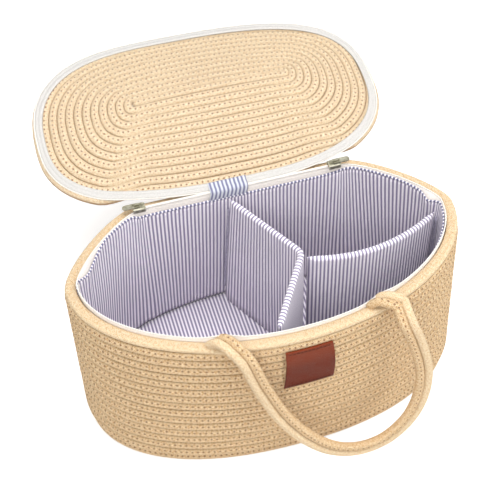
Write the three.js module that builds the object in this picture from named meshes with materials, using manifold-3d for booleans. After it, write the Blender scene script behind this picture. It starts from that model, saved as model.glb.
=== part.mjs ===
// Lidded rope caddy: a coiled, sewn rope basket with a striped lining, lift-out dividers,
// two rope handles and a rope lid that a zip joins to the rim.
// Millimetres, +Z up. Origin: middle of the base's underside. Front is -Y, hinge side is +Y.
import * as THREE from "three";
import { mergeVertices } from "three/addons/utils/BufferGeometryUtils.js";
import Module from "manifold-3d";

const wasm = await Module();
wasm.setup();

// Basket body
const BASE_LENGTH = 386;
const BASE_WIDTH = 218;
const BASE_ROUNDNESS = 2.25;
const RIM_LENGTH = 380;
const RIM_FRONT = 108;
const RIM_BACK = 93;
const RIM_WIDEST = 6;
const HINGE_STRAIGHT = 200;
const END_BULGE = 24;
const CORNER_REACH = 30;
const BODY_HEIGHT = 182;
const RIM_ROPE = 12;
const ROWS = 16;
const WALL = 9;
const RIB_DEPTH = 2;
const ROW_CROWN = 0.25;
const FOOT_ROUNDING = 6;
const FOOT_HEIGHT = 14;
const BASE_THICKNESS = 9;
const BASE_COILS = 9;
const BASE_CORE = 168;
const CORE_WIDTH = 3;
const COLUMNS = 36;
const GAP = 0.4;

// Lining and stiffeners
const CLOTH = 1;
const BOARD = 3;
const LINING_DROP = 7;
const HEM = 3;

// Zip
const TAPE = 0.8;
const TAPE_WIDTH = 18;
const TAPE_RISE = 2.2;
const TOOTH = 1.8;
const CHAIN = 2.8;
const SEAM = 0.2;
const SLIDER_AT = 98.5;
const HINGE_SHIFT = -4.5;
const SLIDER_LENGTH = 12;
const SLIDER_WIDTH = 9;
const SLIDER_WALL = 1.6;
const PULL_LENGTH = 16;
const PULL_WIDTH = 6;
const PULL_THICKNESS = 1.2;
const TAB_WIDTH = 38;
const TAB_FLAP = 6;
const TAB_REACH = 24;

// Lid
const LID_LENGTH = 348;
const LID_DEPTH = 200;
const LID_START = 9.6;
const LID_ROUNDNESS = 2.7;
const LID_SHIFT = -7;
const LID_SAG = 16;
const LID_DROOP = 6;
const LID_THICKNESS = 8.2;
const LID_COILS = 11;
const LID_CORE = 160;
const LID_DROP = 3.1;
const LID_OPEN_TILT = 12;
const LID_BAND = 11;
const LID_TAPE_START = 6.2;
const LID_TAPE_LAP = 0.3;
const LID_TOOTH = 0.9;
const LID_TOOTH_WIDTH = 2;
const LID_COLUMNS = 32;

// Handles
const HANDLE_ROPE = 9.6;
const HANDLE_SPAN = 156;
const HANDLE_SHIFT = 8;
const HANDLE_DROP = 171;
const HANDLE_LEAN = 30;
const BACK_HANDLE_SPAN = 168;
const BACK_HANDLE_DROP = 128;
const BACK_HANDLE_LEAN = 8;
const BACK_ROOT_DROP = 20;
const ROOT_TUCK = 8;
const SWING_REACH = 9;
const SWING_DROP = 3;

// Leather patch
const PATCH_WIDTH = 46;
const PATCH_HEIGHT = 55;
const PATCH_THICKNESS = 1.8;
const PATCH_SHIFT = 7;
const PATCH_DROP = 1.2;

// Dividers
const DIVIDER = 6.4;
const DIVIDER_TOP = 170;
const JUNCTION_X = 32;
const JUNCTION_Y = -13;
const DIVIDER_BOARD = 2.4;
const CROSS_BACK_X = -11;
const CROSS_FRONT_X = -15;
const LONG_END_Y = 5;
const LONG_BOW = 16;
const HOOK_STRIP = 1.2;
const LOOP_STRIP = 1;
const STRIP_HEIGHT = 130;
const STRIP_DROP = 8;
const LOOP_WIDTH = 20;

// Sizes that follow from those above
const RIM_LEVEL = BODY_HEIGHT - RIM_ROPE / 2;
const ROW_PITCH = (BODY_HEIGHT - RIM_ROPE) / ROWS;
const PADDING_INSET = WALL + GAP;
const TAPE_INSET = RIM_ROPE + GAP;
const LINING_INSET = TAPE_INSET + TAPE + GAP;
const FLOOR_LEVEL = BASE_THICKNESS + GAP;
const FLOOR_TOP = FLOOR_LEVEL + BOARD + GAP + CLOTH;
const TAPE_TOP = BODY_HEIGHT + TAPE_RISE;
// Neighbouring skins of the wall all have points at this level, so that they stay parallel.
const MID_LEVEL = BODY_HEIGHT / 2;
const HINGE_Y = RIM_BACK - TAPE_INSET - TAPE / 2;
const HINGE_Z = TAPE_TOP + SEAM + CHAIN / 2;

const ROPE = 0xe9c690;
const STRIPE = 0xb9b9d2;
const WHITE = 0xf4efea;
const LEATHER = 0x7d4024;
const METAL = 0xa8a68f;
const BOARD_GREY = 0x9a958c;

const part = new THREE.Group();

function add(name, geometry, colour, roughness, parent = part, metalness = 0) {
  const material = new THREE.MeshStandardMaterial({ color: colour, roughness, metalness });
  const mesh = new THREE.Mesh(geometry, material);
  mesh.name = name;
  parent.add(mesh);
  return mesh;
}

// Closed bodies from points and faces

// Turns the faces round where they enclose a negative volume.
function body(points, faces) {
  let volume = 0;
  const cross = new THREE.Vector3();
  for (const [a, b, c] of faces) {
    volume += points[a].dot(cross.crossVectors(points[b], points[c]));
  }
  const index = volume > 0 ? faces.flat() : faces.map(([a, b, c]) => [a, c, b]).flat();
  const geometry = new THREE.BufferGeometry().setFromPoints(points);
  geometry.setIndex(index);
  geometry.computeVertexNormals();
  return geometry;
}

// Joins equal loops of points, one after the other, into a ring or a strip with capped ends.
// Each four-sided face is split by the diagonal that climbs, so nested skins stay parallel.
function loft(loops, isRing) {
  const size = loops[0].length;
  const faces = [];
  const last = isRing ? loops.length : loops.length - 1;
  for (let i = 0; i < last; i++) {
    const here = i * size;
    const next = ((i + 1) % loops.length) * size;
    for (let j = 0; j < size; j++) {
      const k = (j + 1) % size;
      const a = here + j;
      const b = next + j;
      const c = next + k;
      const d = here + k;
      if (loops[i][k].z >= loops[i][j].z) {
        faces.push([a, b, c], [a, c, d]);
      } else {
        faces.push([a, b, d], [b, c, d]);
      }
    }
  }
  if (!isRing) {
    const end = (loops.length - 1) * size;
    for (let j = 1; j < size - 1; j++) {
      faces.push([0, j, j + 1], [end, end + j + 1, end + j]);
    }
  }
  return body(loops.flat(), faces);
}

// Joins ovals of points into a disc: the first and last are closed by strips from side to side.
function disc(rings) {
  const size = rings[0].length;
  const faces = [];
  for (let i = 0; i < rings.length - 1; i++) {
    for (let j = 0; j < size; j++) {
      const k = (j + 1) % size;
      const here = i * size;
      const next = here + size;
      faces.push([here + j, next + j, next + k], [here + j, next + k, here + k]);
    }
  }
  const end = (rings.length - 1) * size;
  for (let j = 0; j < size / 2; j++) {
    const k = j + 1;
    const across = (size - j) % size;
    const beyond = size - k;
    if (across !== j) {
      faces.push([j, k, across]);
      faces.push([end + j, end + across, end + k]);
    }
    if (beyond !== k) {
      faces.push([k, beyond, across]);
      faces.push([end + k, end + across, end + beyond]);
    }
  }
  return body(rings.flat(), faces);
}

function solid(geometry) {
  const bare = geometry.index ? geometry.toNonIndexed() : geometry.clone();
  bare.deleteAttribute("normal");
  bare.deleteAttribute("uv");
  const merged = mergeVertices(bare, 1e-4);
  return new wasm.Manifold(
    new wasm.Mesh({
      numProp: 3,
      vertProperties: merged.attributes.position.array,
      triVerts: new Uint32Array(merged.index.array),
    }),
  );
}

function geometryOf(manifold) {
  const mesh = manifold.getMesh();
  const geometry = new THREE.BufferGeometry();
  const positions = new THREE.BufferAttribute(new Float32Array(mesh.vertProperties), 3);
  geometry.setAttribute("position", positions);
  geometry.setIndex(new THREE.BufferAttribute(new Uint32Array(mesh.triVerts), 1));
  geometry.computeVertexNormals();
  return geometry;
}

// A flat outline raised from one height to another.
function slab(outline, bottom, top) {
  const settings = { depth: top - bottom, bevelEnabled: false, curveSegments: 8 };
  return new THREE.ExtrudeGeometry(outline, settings).translate(0, 0, bottom);
}

// A flat outline in Y and Z, drawn out along X about x = 0.
function bar(outline, length) {
  const geometry = slab(outline, -length / 2, length / 2);
  geometry.rotateX(Math.PI / 2);
  geometry.rotateZ(Math.PI / 2);
  return geometry;
}

function rectangle(left, bottom, right, top) {
  const shape = new THREE.Shape();
  shape.moveTo(left, bottom);
  shape.lineTo(right, bottom);
  shape.lineTo(right, top);
  shape.lineTo(left, top);
  return shape;
}

// Plan of the basket: an oval base, and a rim that bows out in front and is straight behind

function power(value, exponent) {
  return Math.sign(value) * Math.abs(value) ** exponent;
}

function baseOutline(angle) {
  const bend = 2 / BASE_ROUNDNESS;
  return new THREE.Vector2(
    (BASE_LENGTH / 2) * power(Math.cos(angle), bend),
    (BASE_WIDTH / 2) * power(Math.sin(angle), bend),
  );
}

const RIM_CORNER = new THREE.CubicBezierCurve(
  new THREE.Vector2(RIM_LENGTH / 2, RIM_WIDEST),
  new THREE.Vector2(RIM_LENGTH / 2, RIM_WIDEST + END_BULGE),
  new THREE.Vector2(HINGE_STRAIGHT / 2 + CORNER_REACH, RIM_BACK),
  new THREE.Vector2(HINGE_STRAIGHT / 2, RIM_BACK),
);
const CORNER_ANGLE = Math.PI / 3;

function rimOutline(angle) {
  if (Math.sin(angle) <= 0) {
    const front = RIM_FRONT + RIM_WIDEST;
    return new THREE.Vector2(
      (RIM_LENGTH / 2) * Math.cos(angle),
      RIM_WIDEST + front * Math.sin(angle),
    );
  }
  const side = Math.sign(Math.cos(angle)) || 1;
  const fromEnd = Math.min(angle, Math.PI - angle);
  if (fromEnd < CORNER_ANGLE) {
    const point = RIM_CORNER.getPoint(fromEnd / CORNER_ANGLE);
    return new THREE.Vector2(side * point.x, point.y);
  }
  const along = Math.cos(angle) / Math.cos(CORNER_ANGLE);
  return new THREE.Vector2((HINGE_STRAIGHT / 2) * along, RIM_BACK);
}

// An outline moved inwards by inset, as one point a column.
function insetOutline(outline, inset) {
  const points = [];
  for (let i = 0; i < COLUMNS; i++) {
    points.push(outline((2 * Math.PI * i) / COLUMNS));
  }
  return points.map((point, i) => {
    const before = points[(i + COLUMNS - 1) % COLUMNS];
    const after = points[(i + 1) % COLUMNS];
    const along = after.clone().sub(before).normalize();
    return new THREE.Vector2(point.x - along.y * inset, point.y + along.x * inset);
  });
}

// The basket's outline at one height: straight sides from the base's outline to the rim's.
function bodyRing(height, inset) {
  const share = THREE.MathUtils.clamp(height / RIM_LEVEL, 0, 1);
  const rim = insetOutline(rimOutline, inset);
  return insetOutline(baseOutline, inset).map((point, i) => {
    const { x, y } = point.lerp(rim[i], share);
    return new THREE.Vector3(x, y, height);
  });
}

// A point on a ring at a column that need not be a whole number.
function onRing(ring, column) {
  const low = Math.floor(column);
  const from = ring[((low % COLUMNS) + COLUMNS) % COLUMNS];
  const to = ring[(((low + 1) % COLUMNS) + COLUMNS) % COLUMNS];
  return from.clone().lerp(to, column - low);
}

// A profile of [inset, height] pairs carried all the way round the basket.
function aroundBody(profile) {
  const rings = profile.map(([inset, height]) => bodyRing(height, inset));
  const loops = [];
  for (let i = 0; i < COLUMNS; i++) {
    loops.push(rings.map((ring) => ring[i]));
  }
  return loft(loops, true);
}

// The same, from one column to another.
function alongBody(profile, from, to) {
  const rings = profile.map(([inset, height]) => bodyRing(height, inset));
  const stops = [from];
  for (let i = Math.floor(from) + 1; i < to; i++) {
    stops.push(i);
  }
  stops.push(to);
  return loft(stops.map((stop) => rings.map((ring) => onRing(ring, stop))), false);
}

// The column at which the front (or the back) of a ring passes a given x.
function columnAt(height, inset, x, isFront) {
  const ring = bodyRing(height, inset);
  const first = isFront ? COLUMNS / 2 : 0;
  for (let i = first; i < first + COLUMNS / 2; i++) {
    const a = ring[i % COLUMNS].x;
    const b = ring[(i + 1) % COLUMNS].x;
    if ((a - x) * (b - x) <= 0 && a !== b) {
      return i + (x - a) / (b - a);
    }
  }
  return first;
}

// A flat band's profile, with any levels between its edges where it has points as well.
function band(insetOut, insetIn, bottom, top, levels = []) {
  const heights = [bottom, ...levels, top];
  const out = heights.map((height) => [insetOut, height]);
  const back = heights.map((height) => [insetIn, height]).reverse();
  return [...out, ...back];
}

// Coiled rope base and wall

// Where a row's crown begins and ends, and where a flat coil's groove lies, in shares of a row.
const CROWN_START = 0.26;
const CROWN_END = 0.74;
const GROOVE = 0.06;

// Rows of rope across a disc, from its core to its edge: a groove, then the rope's crown.
function coilRings(count, ringAt, crown, groove, share) {
  const rings = [];
  for (let i = 0; i < count; i++) {
    rings.push(ringAt((i + GROOVE) / count, groove));
    rings.push(ringAt((i + 0.5 - share / 2) / count, crown));
    if (share > 0) {
      rings.push(ringAt((i + 0.5 + share / 2) / count, crown));
    }
  }
  return rings;
}

// How far the inside of the wall's foot leans in at a height.
function footTuck(height) {
  return WALL + FOOT_ROUNDING * Math.max(0, 1 - height / FOOT_HEIGHT);
}

function baseRing(share, height) {
  const edge = bodyRing(height, footTuck(height) + GAP);
  return edge.map((point, i) => {
    const angle = (2 * Math.PI * i) / COLUMNS;
    const x = THREE.MathUtils.lerp((BASE_CORE / 2) * Math.cos(angle), point.x, share);
    const y = THREE.MathUtils.lerp(CORE_WIDTH * Math.sin(angle), point.y, share);
    return new THREE.Vector3(x, y, height);
  });
}

function ropeBase() {
  const under = [baseRing(0, 0), ...coilRings(BASE_COILS, baseRing, 0, RIB_DEPTH, 0.5)];
  under.push(baseRing(1, RIB_DEPTH / 2));
  const over = [baseRing(1, BASE_THICKNESS), baseRing(0, BASE_THICKNESS)];
  return disc([...under, ...over]);
}

// How far the outside of the wall's foot is rounded in at a height.
function footInset(height) {
  const rise = Math.max(0, 1 - height / FOOT_HEIGHT);
  return FOOT_ROUNDING * rise * rise;
}

function ropeWall() {
  const profile = [];
  for (let row = 0; row < ROWS; row++) {
    const low = row * ROW_PITCH;
    const steps = [
      [RIB_DEPTH, 0],
      [ROW_CROWN, CROWN_START],
      [ROW_CROWN, CROWN_END],
    ];
    for (const [depth, share] of steps) {
      const height = low + share * ROW_PITCH;
      profile.push([depth + footInset(height), height]);
    }
  }
  profile.push([RIB_DEPTH, BODY_HEIGHT - RIM_ROPE - GAP]);
  profile.push([WALL, BODY_HEIGHT - RIM_ROPE - GAP]);
  profile.push([WALL, MID_LEVEL]);
  profile.push([WALL, FOOT_HEIGHT]);
  profile.push([footTuck(0), 0]);
  return aroundBody(profile);
}

function rimRope() {
  const sides = 8;
  const profile = [];
  for (let i = 0; i < sides; i++) {
    const turn = ((i + 0.5) * 2 * Math.PI) / sides;
    const reach = RIM_ROPE / 2 / Math.cos(Math.PI / sides);
    profile.push([RIM_ROPE / 2 - reach * Math.cos(turn), RIM_LEVEL + reach * Math.sin(turn)]);
  }
  return aroundBody(profile);
}

add("rope_base", ropeBase(), ROPE, 0.9);
add("rope_wall", ropeWall(), ROPE, 0.9);
add("rim_rope", rimRope(), ROPE, 0.88);

// Lining, padding and floor

const LINING_TOP = BODY_HEIGHT - LINING_DROP;
const LINING_BOTTOM = FLOOR_TOP + GAP;
const TAPE_BOTTOM = TAPE_TOP - TAPE_WIDTH;
const PADDING_TOP = TAPE_BOTTOM - GAP;
const FLOOR_INSET = LINING_INSET + CLOTH + GAP;

function floorSheet(bottom, top) {
  return disc([bodyRing(bottom, FLOOR_INSET), bodyRing(top, FLOOR_INSET)]);
}

// Fills the space between the wall and the lining.
function wallPadding() {
  const inside = LINING_INSET - GAP;
  return aroundBody(band(PADDING_INSET, inside, LINING_BOTTOM, PADDING_TOP, [MID_LEVEL]));
}

function liningWall() {
  const inside = LINING_INSET + CLOTH;
  return aroundBody(band(LINING_INSET, inside, LINING_BOTTOM, LINING_TOP, [MID_LEVEL, TAPE_BOTTOM]));
}

function liningHem() {
  const inside = LINING_INSET + CLOTH + GAP / 2;
  return aroundBody(band(LINING_INSET, inside, LINING_TOP + GAP, LINING_TOP + HEM));
}

add("wall_padding", wallPadding(), BOARD_GREY, 1);
add("lining_wall", liningWall(), STRIPE, 0.95);
add("lining_hem", liningHem(), STRIPE, 0.95);
add("floor_board", floorSheet(FLOOR_LEVEL, FLOOR_LEVEL + BOARD), BOARD_GREY, 0.9);
add("lining_floor", floorSheet(FLOOR_TOP - CLOTH, FLOOR_TOP), STRIPE, 0.95);

// Zip on the rim: tape, open teeth round the front, and the closed chain that is the hinge

// The tape follows the wall's lean below the rim's level and stands upright above it.
function rimTape() {
  const inside = TAPE_INSET + TAPE;
  return aroundBody([
    [TAPE_INSET, TAPE_BOTTOM],
    [TAPE_INSET, RIM_LEVEL],
    [TAPE_INSET, TAPE_TOP],
    [inside, TAPE_TOP],
    [inside, RIM_LEVEL],
    [inside, TAPE_BOTTOM],
  ]);
}

add("rim_zip_tape", rimTape(), WHITE, 0.85);

const TEETH_LEVEL = TAPE_TOP + SEAM;
const TEETH_INSET = TAPE_INSET + TAPE / 2;
const CHAIN_HALF = SLIDER_AT - SLIDER_LENGTH / 2 - GAP;
const TEETH_FROM = SLIDER_AT + SLIDER_LENGTH / 2 + GAP;

function rimTeeth() {
  const left = columnAt(TEETH_LEVEL, TEETH_INSET, HINGE_SHIFT - TEETH_FROM, false);
  const right = columnAt(TEETH_LEVEL, TEETH_INSET, HINGE_SHIFT + TEETH_FROM, false) + COLUMNS;
  const half = TOOTH / 2;
  const profile = band(TEETH_INSET - half, TEETH_INSET + half, TEETH_LEVEL, TEETH_LEVEL + TOOTH);
  return alongBody(profile, left, right);
}

function hingeChain() {
  const chain = new THREE.CylinderGeometry(CHAIN / 2, CHAIN / 2, 2 * CHAIN_HALF, 10);
  return chain.rotateZ(Math.PI / 2).translate(HINGE_SHIFT, HINGE_Y, HINGE_Z);
}

add("rim_zip_teeth", rimTeeth(), WHITE, 0.6);
add("hinge_zip_chain", hingeChain(), WHITE, 0.6);

// The striped tab over the joint of the zip, an arch that the chain lies in.
function hingeTab() {
  const inner = CHAIN / 2 + GAP;
  const outer = inner + CLOTH;
  const shape = new THREE.Shape();
  const foot = -inner - TAB_FLAP;
  shape.moveTo(-outer, foot);
  shape.lineTo(-inner, foot);
  shape.lineTo(-inner, 0);
  shape.absarc(0, 0, inner, Math.PI, 0, true);
  shape.lineTo(inner, -CHAIN / 2);
  shape.lineTo(outer, -CHAIN / 2);
  shape.lineTo(outer, 0);
  shape.absarc(0, 0, outer, 0, Math.PI, false);
  return bar(shape, TAB_WIDTH).translate(LID_SHIFT, HINGE_Y, HINGE_Z);
}

add("hinge_tab", hingeTab(), STRIPE, 0.95);

// Sliders: a channel that runs on the chain, with an arch that holds the pull

const CHANNEL_CLEARANCE = 0.8;
const SLIDER_CLEARANCE = 0.3;
const SLIDER_CORNER = 1;
const CHANNEL_HALF = CHAIN / 2 + CHANNEL_CLEARANCE;
const SLIDER_TOP = CHAIN / 2 + CHANNEL_CLEARANCE + SLIDER_WALL;
const SLIDER_FOOT = SLIDER_CLEARANCE - CHAIN / 2;
const ARCH_LENGTH = 9;
const ARCH_WIDTH = 2;
const ARCH_WALL = 1.2;
const ARCH_GAP = 2;
const ARCH_CORNER = 0.8;
const ARCH_ROOT = 0.2;
const EYE_LENGTH = 5.4;

function sliderBody() {
  const shape = new THREE.Shape();
  const half = SLIDER_WIDTH / 2;
  shape.moveTo(-half, SLIDER_FOOT);
  shape.lineTo(-CHANNEL_HALF, SLIDER_FOOT);
  shape.lineTo(-CHANNEL_HALF, CHANNEL_HALF);
  shape.lineTo(CHANNEL_HALF, CHANNEL_HALF);
  shape.lineTo(CHANNEL_HALF, SLIDER_FOOT);
  shape.lineTo(half, SLIDER_FOOT);
  shape.lineTo(half, SLIDER_TOP - SLIDER_CORNER);
  shape.lineTo(half - SLIDER_CORNER, SLIDER_TOP);
  shape.lineTo(SLIDER_CORNER - half, SLIDER_TOP);
  shape.lineTo(-half, SLIDER_TOP - SLIDER_CORNER);
  const channel = solid(bar(shape, SLIDER_LENGTH));
  const arch = new THREE.Shape();
  const reach = ARCH_LENGTH / 2;
  const crown = ARCH_GAP + ARCH_WALL;
  arch.moveTo(-reach, -ARCH_ROOT);
  arch.lineTo(-reach + ARCH_WALL, -ARCH_ROOT);
  arch.lineTo(-reach + ARCH_WALL, ARCH_GAP);
  arch.lineTo(reach - ARCH_WALL, ARCH_GAP);
  arch.lineTo(reach - ARCH_WALL, -ARCH_ROOT);
  arch.lineTo(reach, -ARCH_ROOT);
  arch.lineTo(reach, crown - ARCH_CORNER);
  arch.lineTo(reach - ARCH_CORNER, crown);
  arch.lineTo(ARCH_CORNER - reach, crown);
  arch.lineTo(-reach, crown - ARCH_CORNER);
  const bridge = slab(arch, -ARCH_WIDTH / 2, ARCH_WIDTH / 2);
  bridge.rotateX(Math.PI / 2).translate(0, 0, SLIDER_TOP);
  return geometryOf(channel.add(solid(bridge)));
}

// The pull hangs in the arch by its crossbar, which is centred on the origin.
function sliderPull() {
  const bar = PULL_THICKNESS / 2;
  const half = PULL_WIDTH / 2;
  const shape = new THREE.Shape();
  shape.moveTo(-bar, -half);
  shape.lineTo(PULL_LENGTH - half, -half);
  shape.absarc(PULL_LENGTH - half, 0, half, -Math.PI / 2, Math.PI / 2, false);
  shape.lineTo(-bar, half);
  const eye = ARCH_WIDTH / 2 + GAP;
  shape.holes.push(rectangle(bar, -eye, bar + EYE_LENGTH, eye));
  return slab(shape, -bar, bar);
}

for (const [side, sign] of [["left", -1], ["right", 1]]) {
  const slider = new THREE.Group();
  slider.position.set(HINGE_SHIFT + sign * SLIDER_AT, HINGE_Y, HINGE_Z);
  part.add(slider);
  add(side + "_slider", sliderBody(), METAL, 0.35, slider, 0.9);
  const pull = add(side + "_slider_pull", sliderPull(), METAL, 0.35, slider, 0.9);
  pull.position.set(0, 0, SLIDER_TOP + ARCH_GAP / 2);
  pull.rotation.z = sign < 0 ? Math.PI : 0;
}

// Lid, in its own frame: x along the hinge, y away from it, z towards the lid's inner face

const lid = new THREE.Group();
lid.position.set(LID_SHIFT, HINGE_Y, HINGE_Z);
lid.rotation.x = THREE.MathUtils.degToRad(LID_OPEN_TILT);
part.add(lid);

// The soft lid's form: it bows up in the middle, and its far corners hang.
function lidRise(x, y) {
  const share = THREE.MathUtils.clamp((y - LID_TAPE_START) / (LID_DEPTH - LID_TAPE_START), 0, 1);
  const end = (x / (LID_LENGTH / 2)) ** 2;
  return 4 * LID_SAG * share * (1 - share) * (1 - end) - LID_DROOP * end * share;
}

function lidRing(length, from, to, height) {
  const ring = [];
  const bend = 2 / LID_ROUNDNESS;
  for (let i = 0; i < LID_COLUMNS; i++) {
    const angle = (2 * Math.PI * i) / LID_COLUMNS;
    const x = (length / 2) * power(Math.cos(angle), bend);
    const y = (from + to) / 2 + ((to - from) / 2) * power(Math.sin(angle), bend);
    ring.push(new THREE.Vector3(x, y, height + lidRise(x, y)));
  }
  return ring;
}

const LID_MIDDLE = (LID_START + LID_DEPTH) / 2;
const LID_RIB = 1.4;
const LID_ROUNDING = 2.6;
const TAB_CLOTH = 0.6;

function lidCoil(share, height) {
  const length = THREE.MathUtils.lerp(LID_CORE, LID_LENGTH, share);
  const half = THREE.MathUtils.lerp(CORE_WIDTH, LID_DEPTH - LID_START, share) / 2;
  return lidRing(length, LID_MIDDLE - half, LID_MIDDLE + half, height);
}

function lidPanel() {
  const top = -LID_DROP;
  const bottom = top - LID_THICKNESS;
  const inner = coilRings(LID_COILS, lidCoil, top, top - LID_RIB, 0);
  const outer = coilRings(LID_COILS, lidCoil, bottom, bottom + LID_RIB, 0);
  const edge = [lidCoil(1, top - LID_ROUNDING), lidCoil(1, bottom + LID_ROUNDING)];
  return disc([...inner, ...edge, ...outer.reverse()]);
}

// A ring between two ovals of the lid, from one height to another.
function lidBand(outer, inner, bottom, top) {
  const corners = [
    lidRing(...outer, bottom),
    lidRing(...outer, top),
    lidRing(...inner, top),
    lidRing(...inner, bottom),
  ];
  const loops = [];
  for (let i = 0; i < LID_COLUMNS; i++) {
    loops.push(corners.map((ring) => ring[i]));
  }
  return loft(loops, true);
}

// The ends of an oval of the lid's tape that lies so far inside its outer edge.
function tapeOval(inset) {
  return [LID_LENGTH - 2 * inset, LID_TAPE_START + inset, LID_DEPTH - inset];
}

const TAPE_LEVEL = LID_TAPE_LAP - LID_DROP;
const LID_TEETH_LEVEL = TAPE_LEVEL + TAPE + LID_TAPE_LAP;

add("lid_panel", lidPanel(), ROPE, 0.9, lid);
const lidTape = lidBand(tapeOval(0), tapeOval(LID_BAND), TAPE_LEVEL, TAPE_LEVEL + TAPE);
const lidTeeth = lidBand(
  tapeOval(LID_TAPE_LAP),
  tapeOval(LID_TAPE_LAP + LID_TOOTH_WIDTH),
  LID_TEETH_LEVEL,
  LID_TEETH_LEVEL + LID_TOOTH,
);
add("lid_zip_tape", lidTape, WHITE, 0.85, lid);
add("lid_zip_teeth", lidTeeth, WHITE, 0.6, lid);

// The tab's other half, sewn to the lid.
function lidTab() {
  const start = CHAIN / 2 + GAP + CLOTH + GAP;
  const level = LID_TEETH_LEVEL + LID_TOOTH + LID_TAPE_LAP;
  const under = [];
  const stops = [start, LID_TAPE_START, (LID_TAPE_START + TAB_REACH) / 2, TAB_REACH];
  for (const stop of stops) {
    under.push(new THREE.Vector2(stop, level + lidRise(0, stop)));
  }
  const over = under.map((point) => new THREE.Vector2(point.x, point.y + TAB_CLOTH)).reverse();
  return bar(new THREE.Shape([...under, ...over]), TAB_WIDTH);
}

add("lid_hinge_tab", lidTab(), STRIPE, 0.95, lid);

// Handles: two ropes side by side, sewn to each other

// How far round each strand is seen, and how deep the valley between the two lies.
const STRAND_TURN = Math.PI * 0.62;
const STRAND_VALLEY = 0.5;

// The pair's section: across its width, and through its thickness.
function handleSection() {
  const radius = HANDLE_ROPE / 2;
  const valley = radius * STRAND_VALLEY;
  const steps = 5;
  const points = [];
  for (const side of [1, -1]) {
    points.push([0, side * valley]);
    for (let i = 0; i < steps; i++) {
      const turn = STRAND_TURN * (1 - (2 * i) / (steps - 1));
      const across = side * radius * (1 + Math.cos(turn));
      points.push([across, side * radius * Math.sin(turn)]);
    }
  }
  return points;
}

// The section carried along a route, its thickness turned as near to facing(point) as can be.
// Its ends are square to the hinge line, and where isRounded they are noses about it.
function handle(route, facing, isRounded) {
  const curve = new THREE.CatmullRomCurve3(route, false, "centripetal");
  const section = handleSection();
  const last = route.length - 1;
  const place = (i, slide, thin) => {
    const along = curve.getTangent(i / last);
    if (i === 0 || i === last) {
      along.setX(0).normalize();
    }
    const across = new THREE.Vector3().crossVectors(along, facing(route[i])).normalize();
    const through = new THREE.Vector3().crossVectors(across, along);
    const middle = route[i].clone().addScaledVector(along, slide);
    return section.map(([wide, thick]) =>
      middle.clone().addScaledVector(across, wide).addScaledVector(through, thick * thin),
    );
  };
  const loops = route.map((point, i) => place(i, 0, 1));
  const nose = isRounded ? NOSE_TURNS : [];
  for (const turn of nose) {
    const reach = (HANDLE_ROPE / 2) * Math.sin(turn);
    loops.unshift(place(0, -reach, Math.cos(turn)));
    loops.push(place(last, reach, Math.cos(turn)));
  }
  return loft(loops, false);
}

const NOSE_TURNS = [Math.PI / 4, (Math.PI * 5) / 12];
const ROOT_LEVEL = BODY_HEIGHT + HANDLE_ROPE / 2 + GAP;
const OUTSIDE = RIM_FRONT + HANDLE_ROPE / 2 + GAP;
const RIM_STEP = 2;

// A point over the front rim, by the x at which its normal passes the rope's top.
function overRim(x, inset, height) {
  const column = columnAt(RIM_LEVEL, RIM_ROPE / 2, x, true);
  return onRing(bodyRing(RIM_LEVEL, inset), column).setZ(height);
}

function rootX(side) {
  return HANDLE_SHIFT + (side * HANDLE_SPAN) / 2;
}

// Where the front handle's loop hinges on its sewn root.
function swingPoint(side) {
  return overRim(rootX(side), -SWING_REACH, ROOT_LEVEL - SWING_DROP);
}

// A sewn root: from beside the tape, over the rim rope, to the loop.
function rootRoute(side) {
  const over = overRim(rootX(side), RIM_ROPE / 2, ROOT_LEVEL);
  const swing = swingPoint(side);
  const reach = swing.y + HANDLE_ROPE / 2 + GAP - over.y;
  const end = over.clone().lerp(swing, reach / (swing.y - over.y));
  return [overRim(rootX(side), ROOT_TUCK, ROOT_LEVEL), over, end];
}

// The front loop's course from left to right: shares of half its span across, and of its drop.
const FRONT_LOOP = [
  [-0.86, 0.12], [-0.69, 0.3], [-0.45, 0.53], [-0.15, 0.74], [0.18, 0.89], [0.54, 0.96],
  [0.9, 0.93], [1.19, 0.81], [1.35, 0.64], [1.38, 0.45], [1.29, 0.26], [1.14, 0.11],
];
const FRONT_STEPS = 25;

// The front loop leans out as it drops, and hangs to the right of its roots.
function frontRoute() {
  const points = FRONT_LOOP.map(([across, drop]) => {
    const x = HANDLE_SHIFT + (across * HANDLE_SPAN) / 2;
    return new THREE.Vector3(x, RIM_STEP - OUTSIDE - HANDLE_LEAN * drop, ROOT_LEVEL - HANDLE_DROP * drop);
  });
  const course = [swingPoint(-1), ...points, swingPoint(1)];
  return new THREE.CatmullRomCurve3(course, false, "centripetal").getSpacedPoints(FRONT_STEPS);
}

// The back handle hangs from the wall's top rows, under the open lid.
function backRoute() {
  const arc = 16;
  const root = BODY_HEIGHT - BACK_ROOT_DROP;
  const points = [];
  for (let i = 0; i <= arc; i++) {
    const turn = (Math.PI * i) / arc;
    const drop = Math.sin(turn);
    const height = root - BACK_HANDLE_DROP * drop;
    const x = (-BACK_HANDLE_SPAN / 2) * Math.cos(turn);
    const wall = onRing(bodyRing(height, ROW_CROWN), columnAt(height, ROW_CROWN, x, false));
    const y = wall.y + HANDLE_ROPE / 2 + GAP + BACK_HANDLE_LEAN * drop;
    points.push(new THREE.Vector3(x, y, height));
  }
  return points;
}

// Flat on the rim's top at the roots, flat against the wall further down.
function frontFacing(point) {
  const turned = THREE.MathUtils.clamp((ROOT_LEVEL - point.z) / (2 * RIM_ROPE), 0, 1);
  const angle = (turned * Math.PI) / 2;
  return new THREE.Vector3(0, -Math.sin(angle), Math.cos(angle));
}

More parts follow.
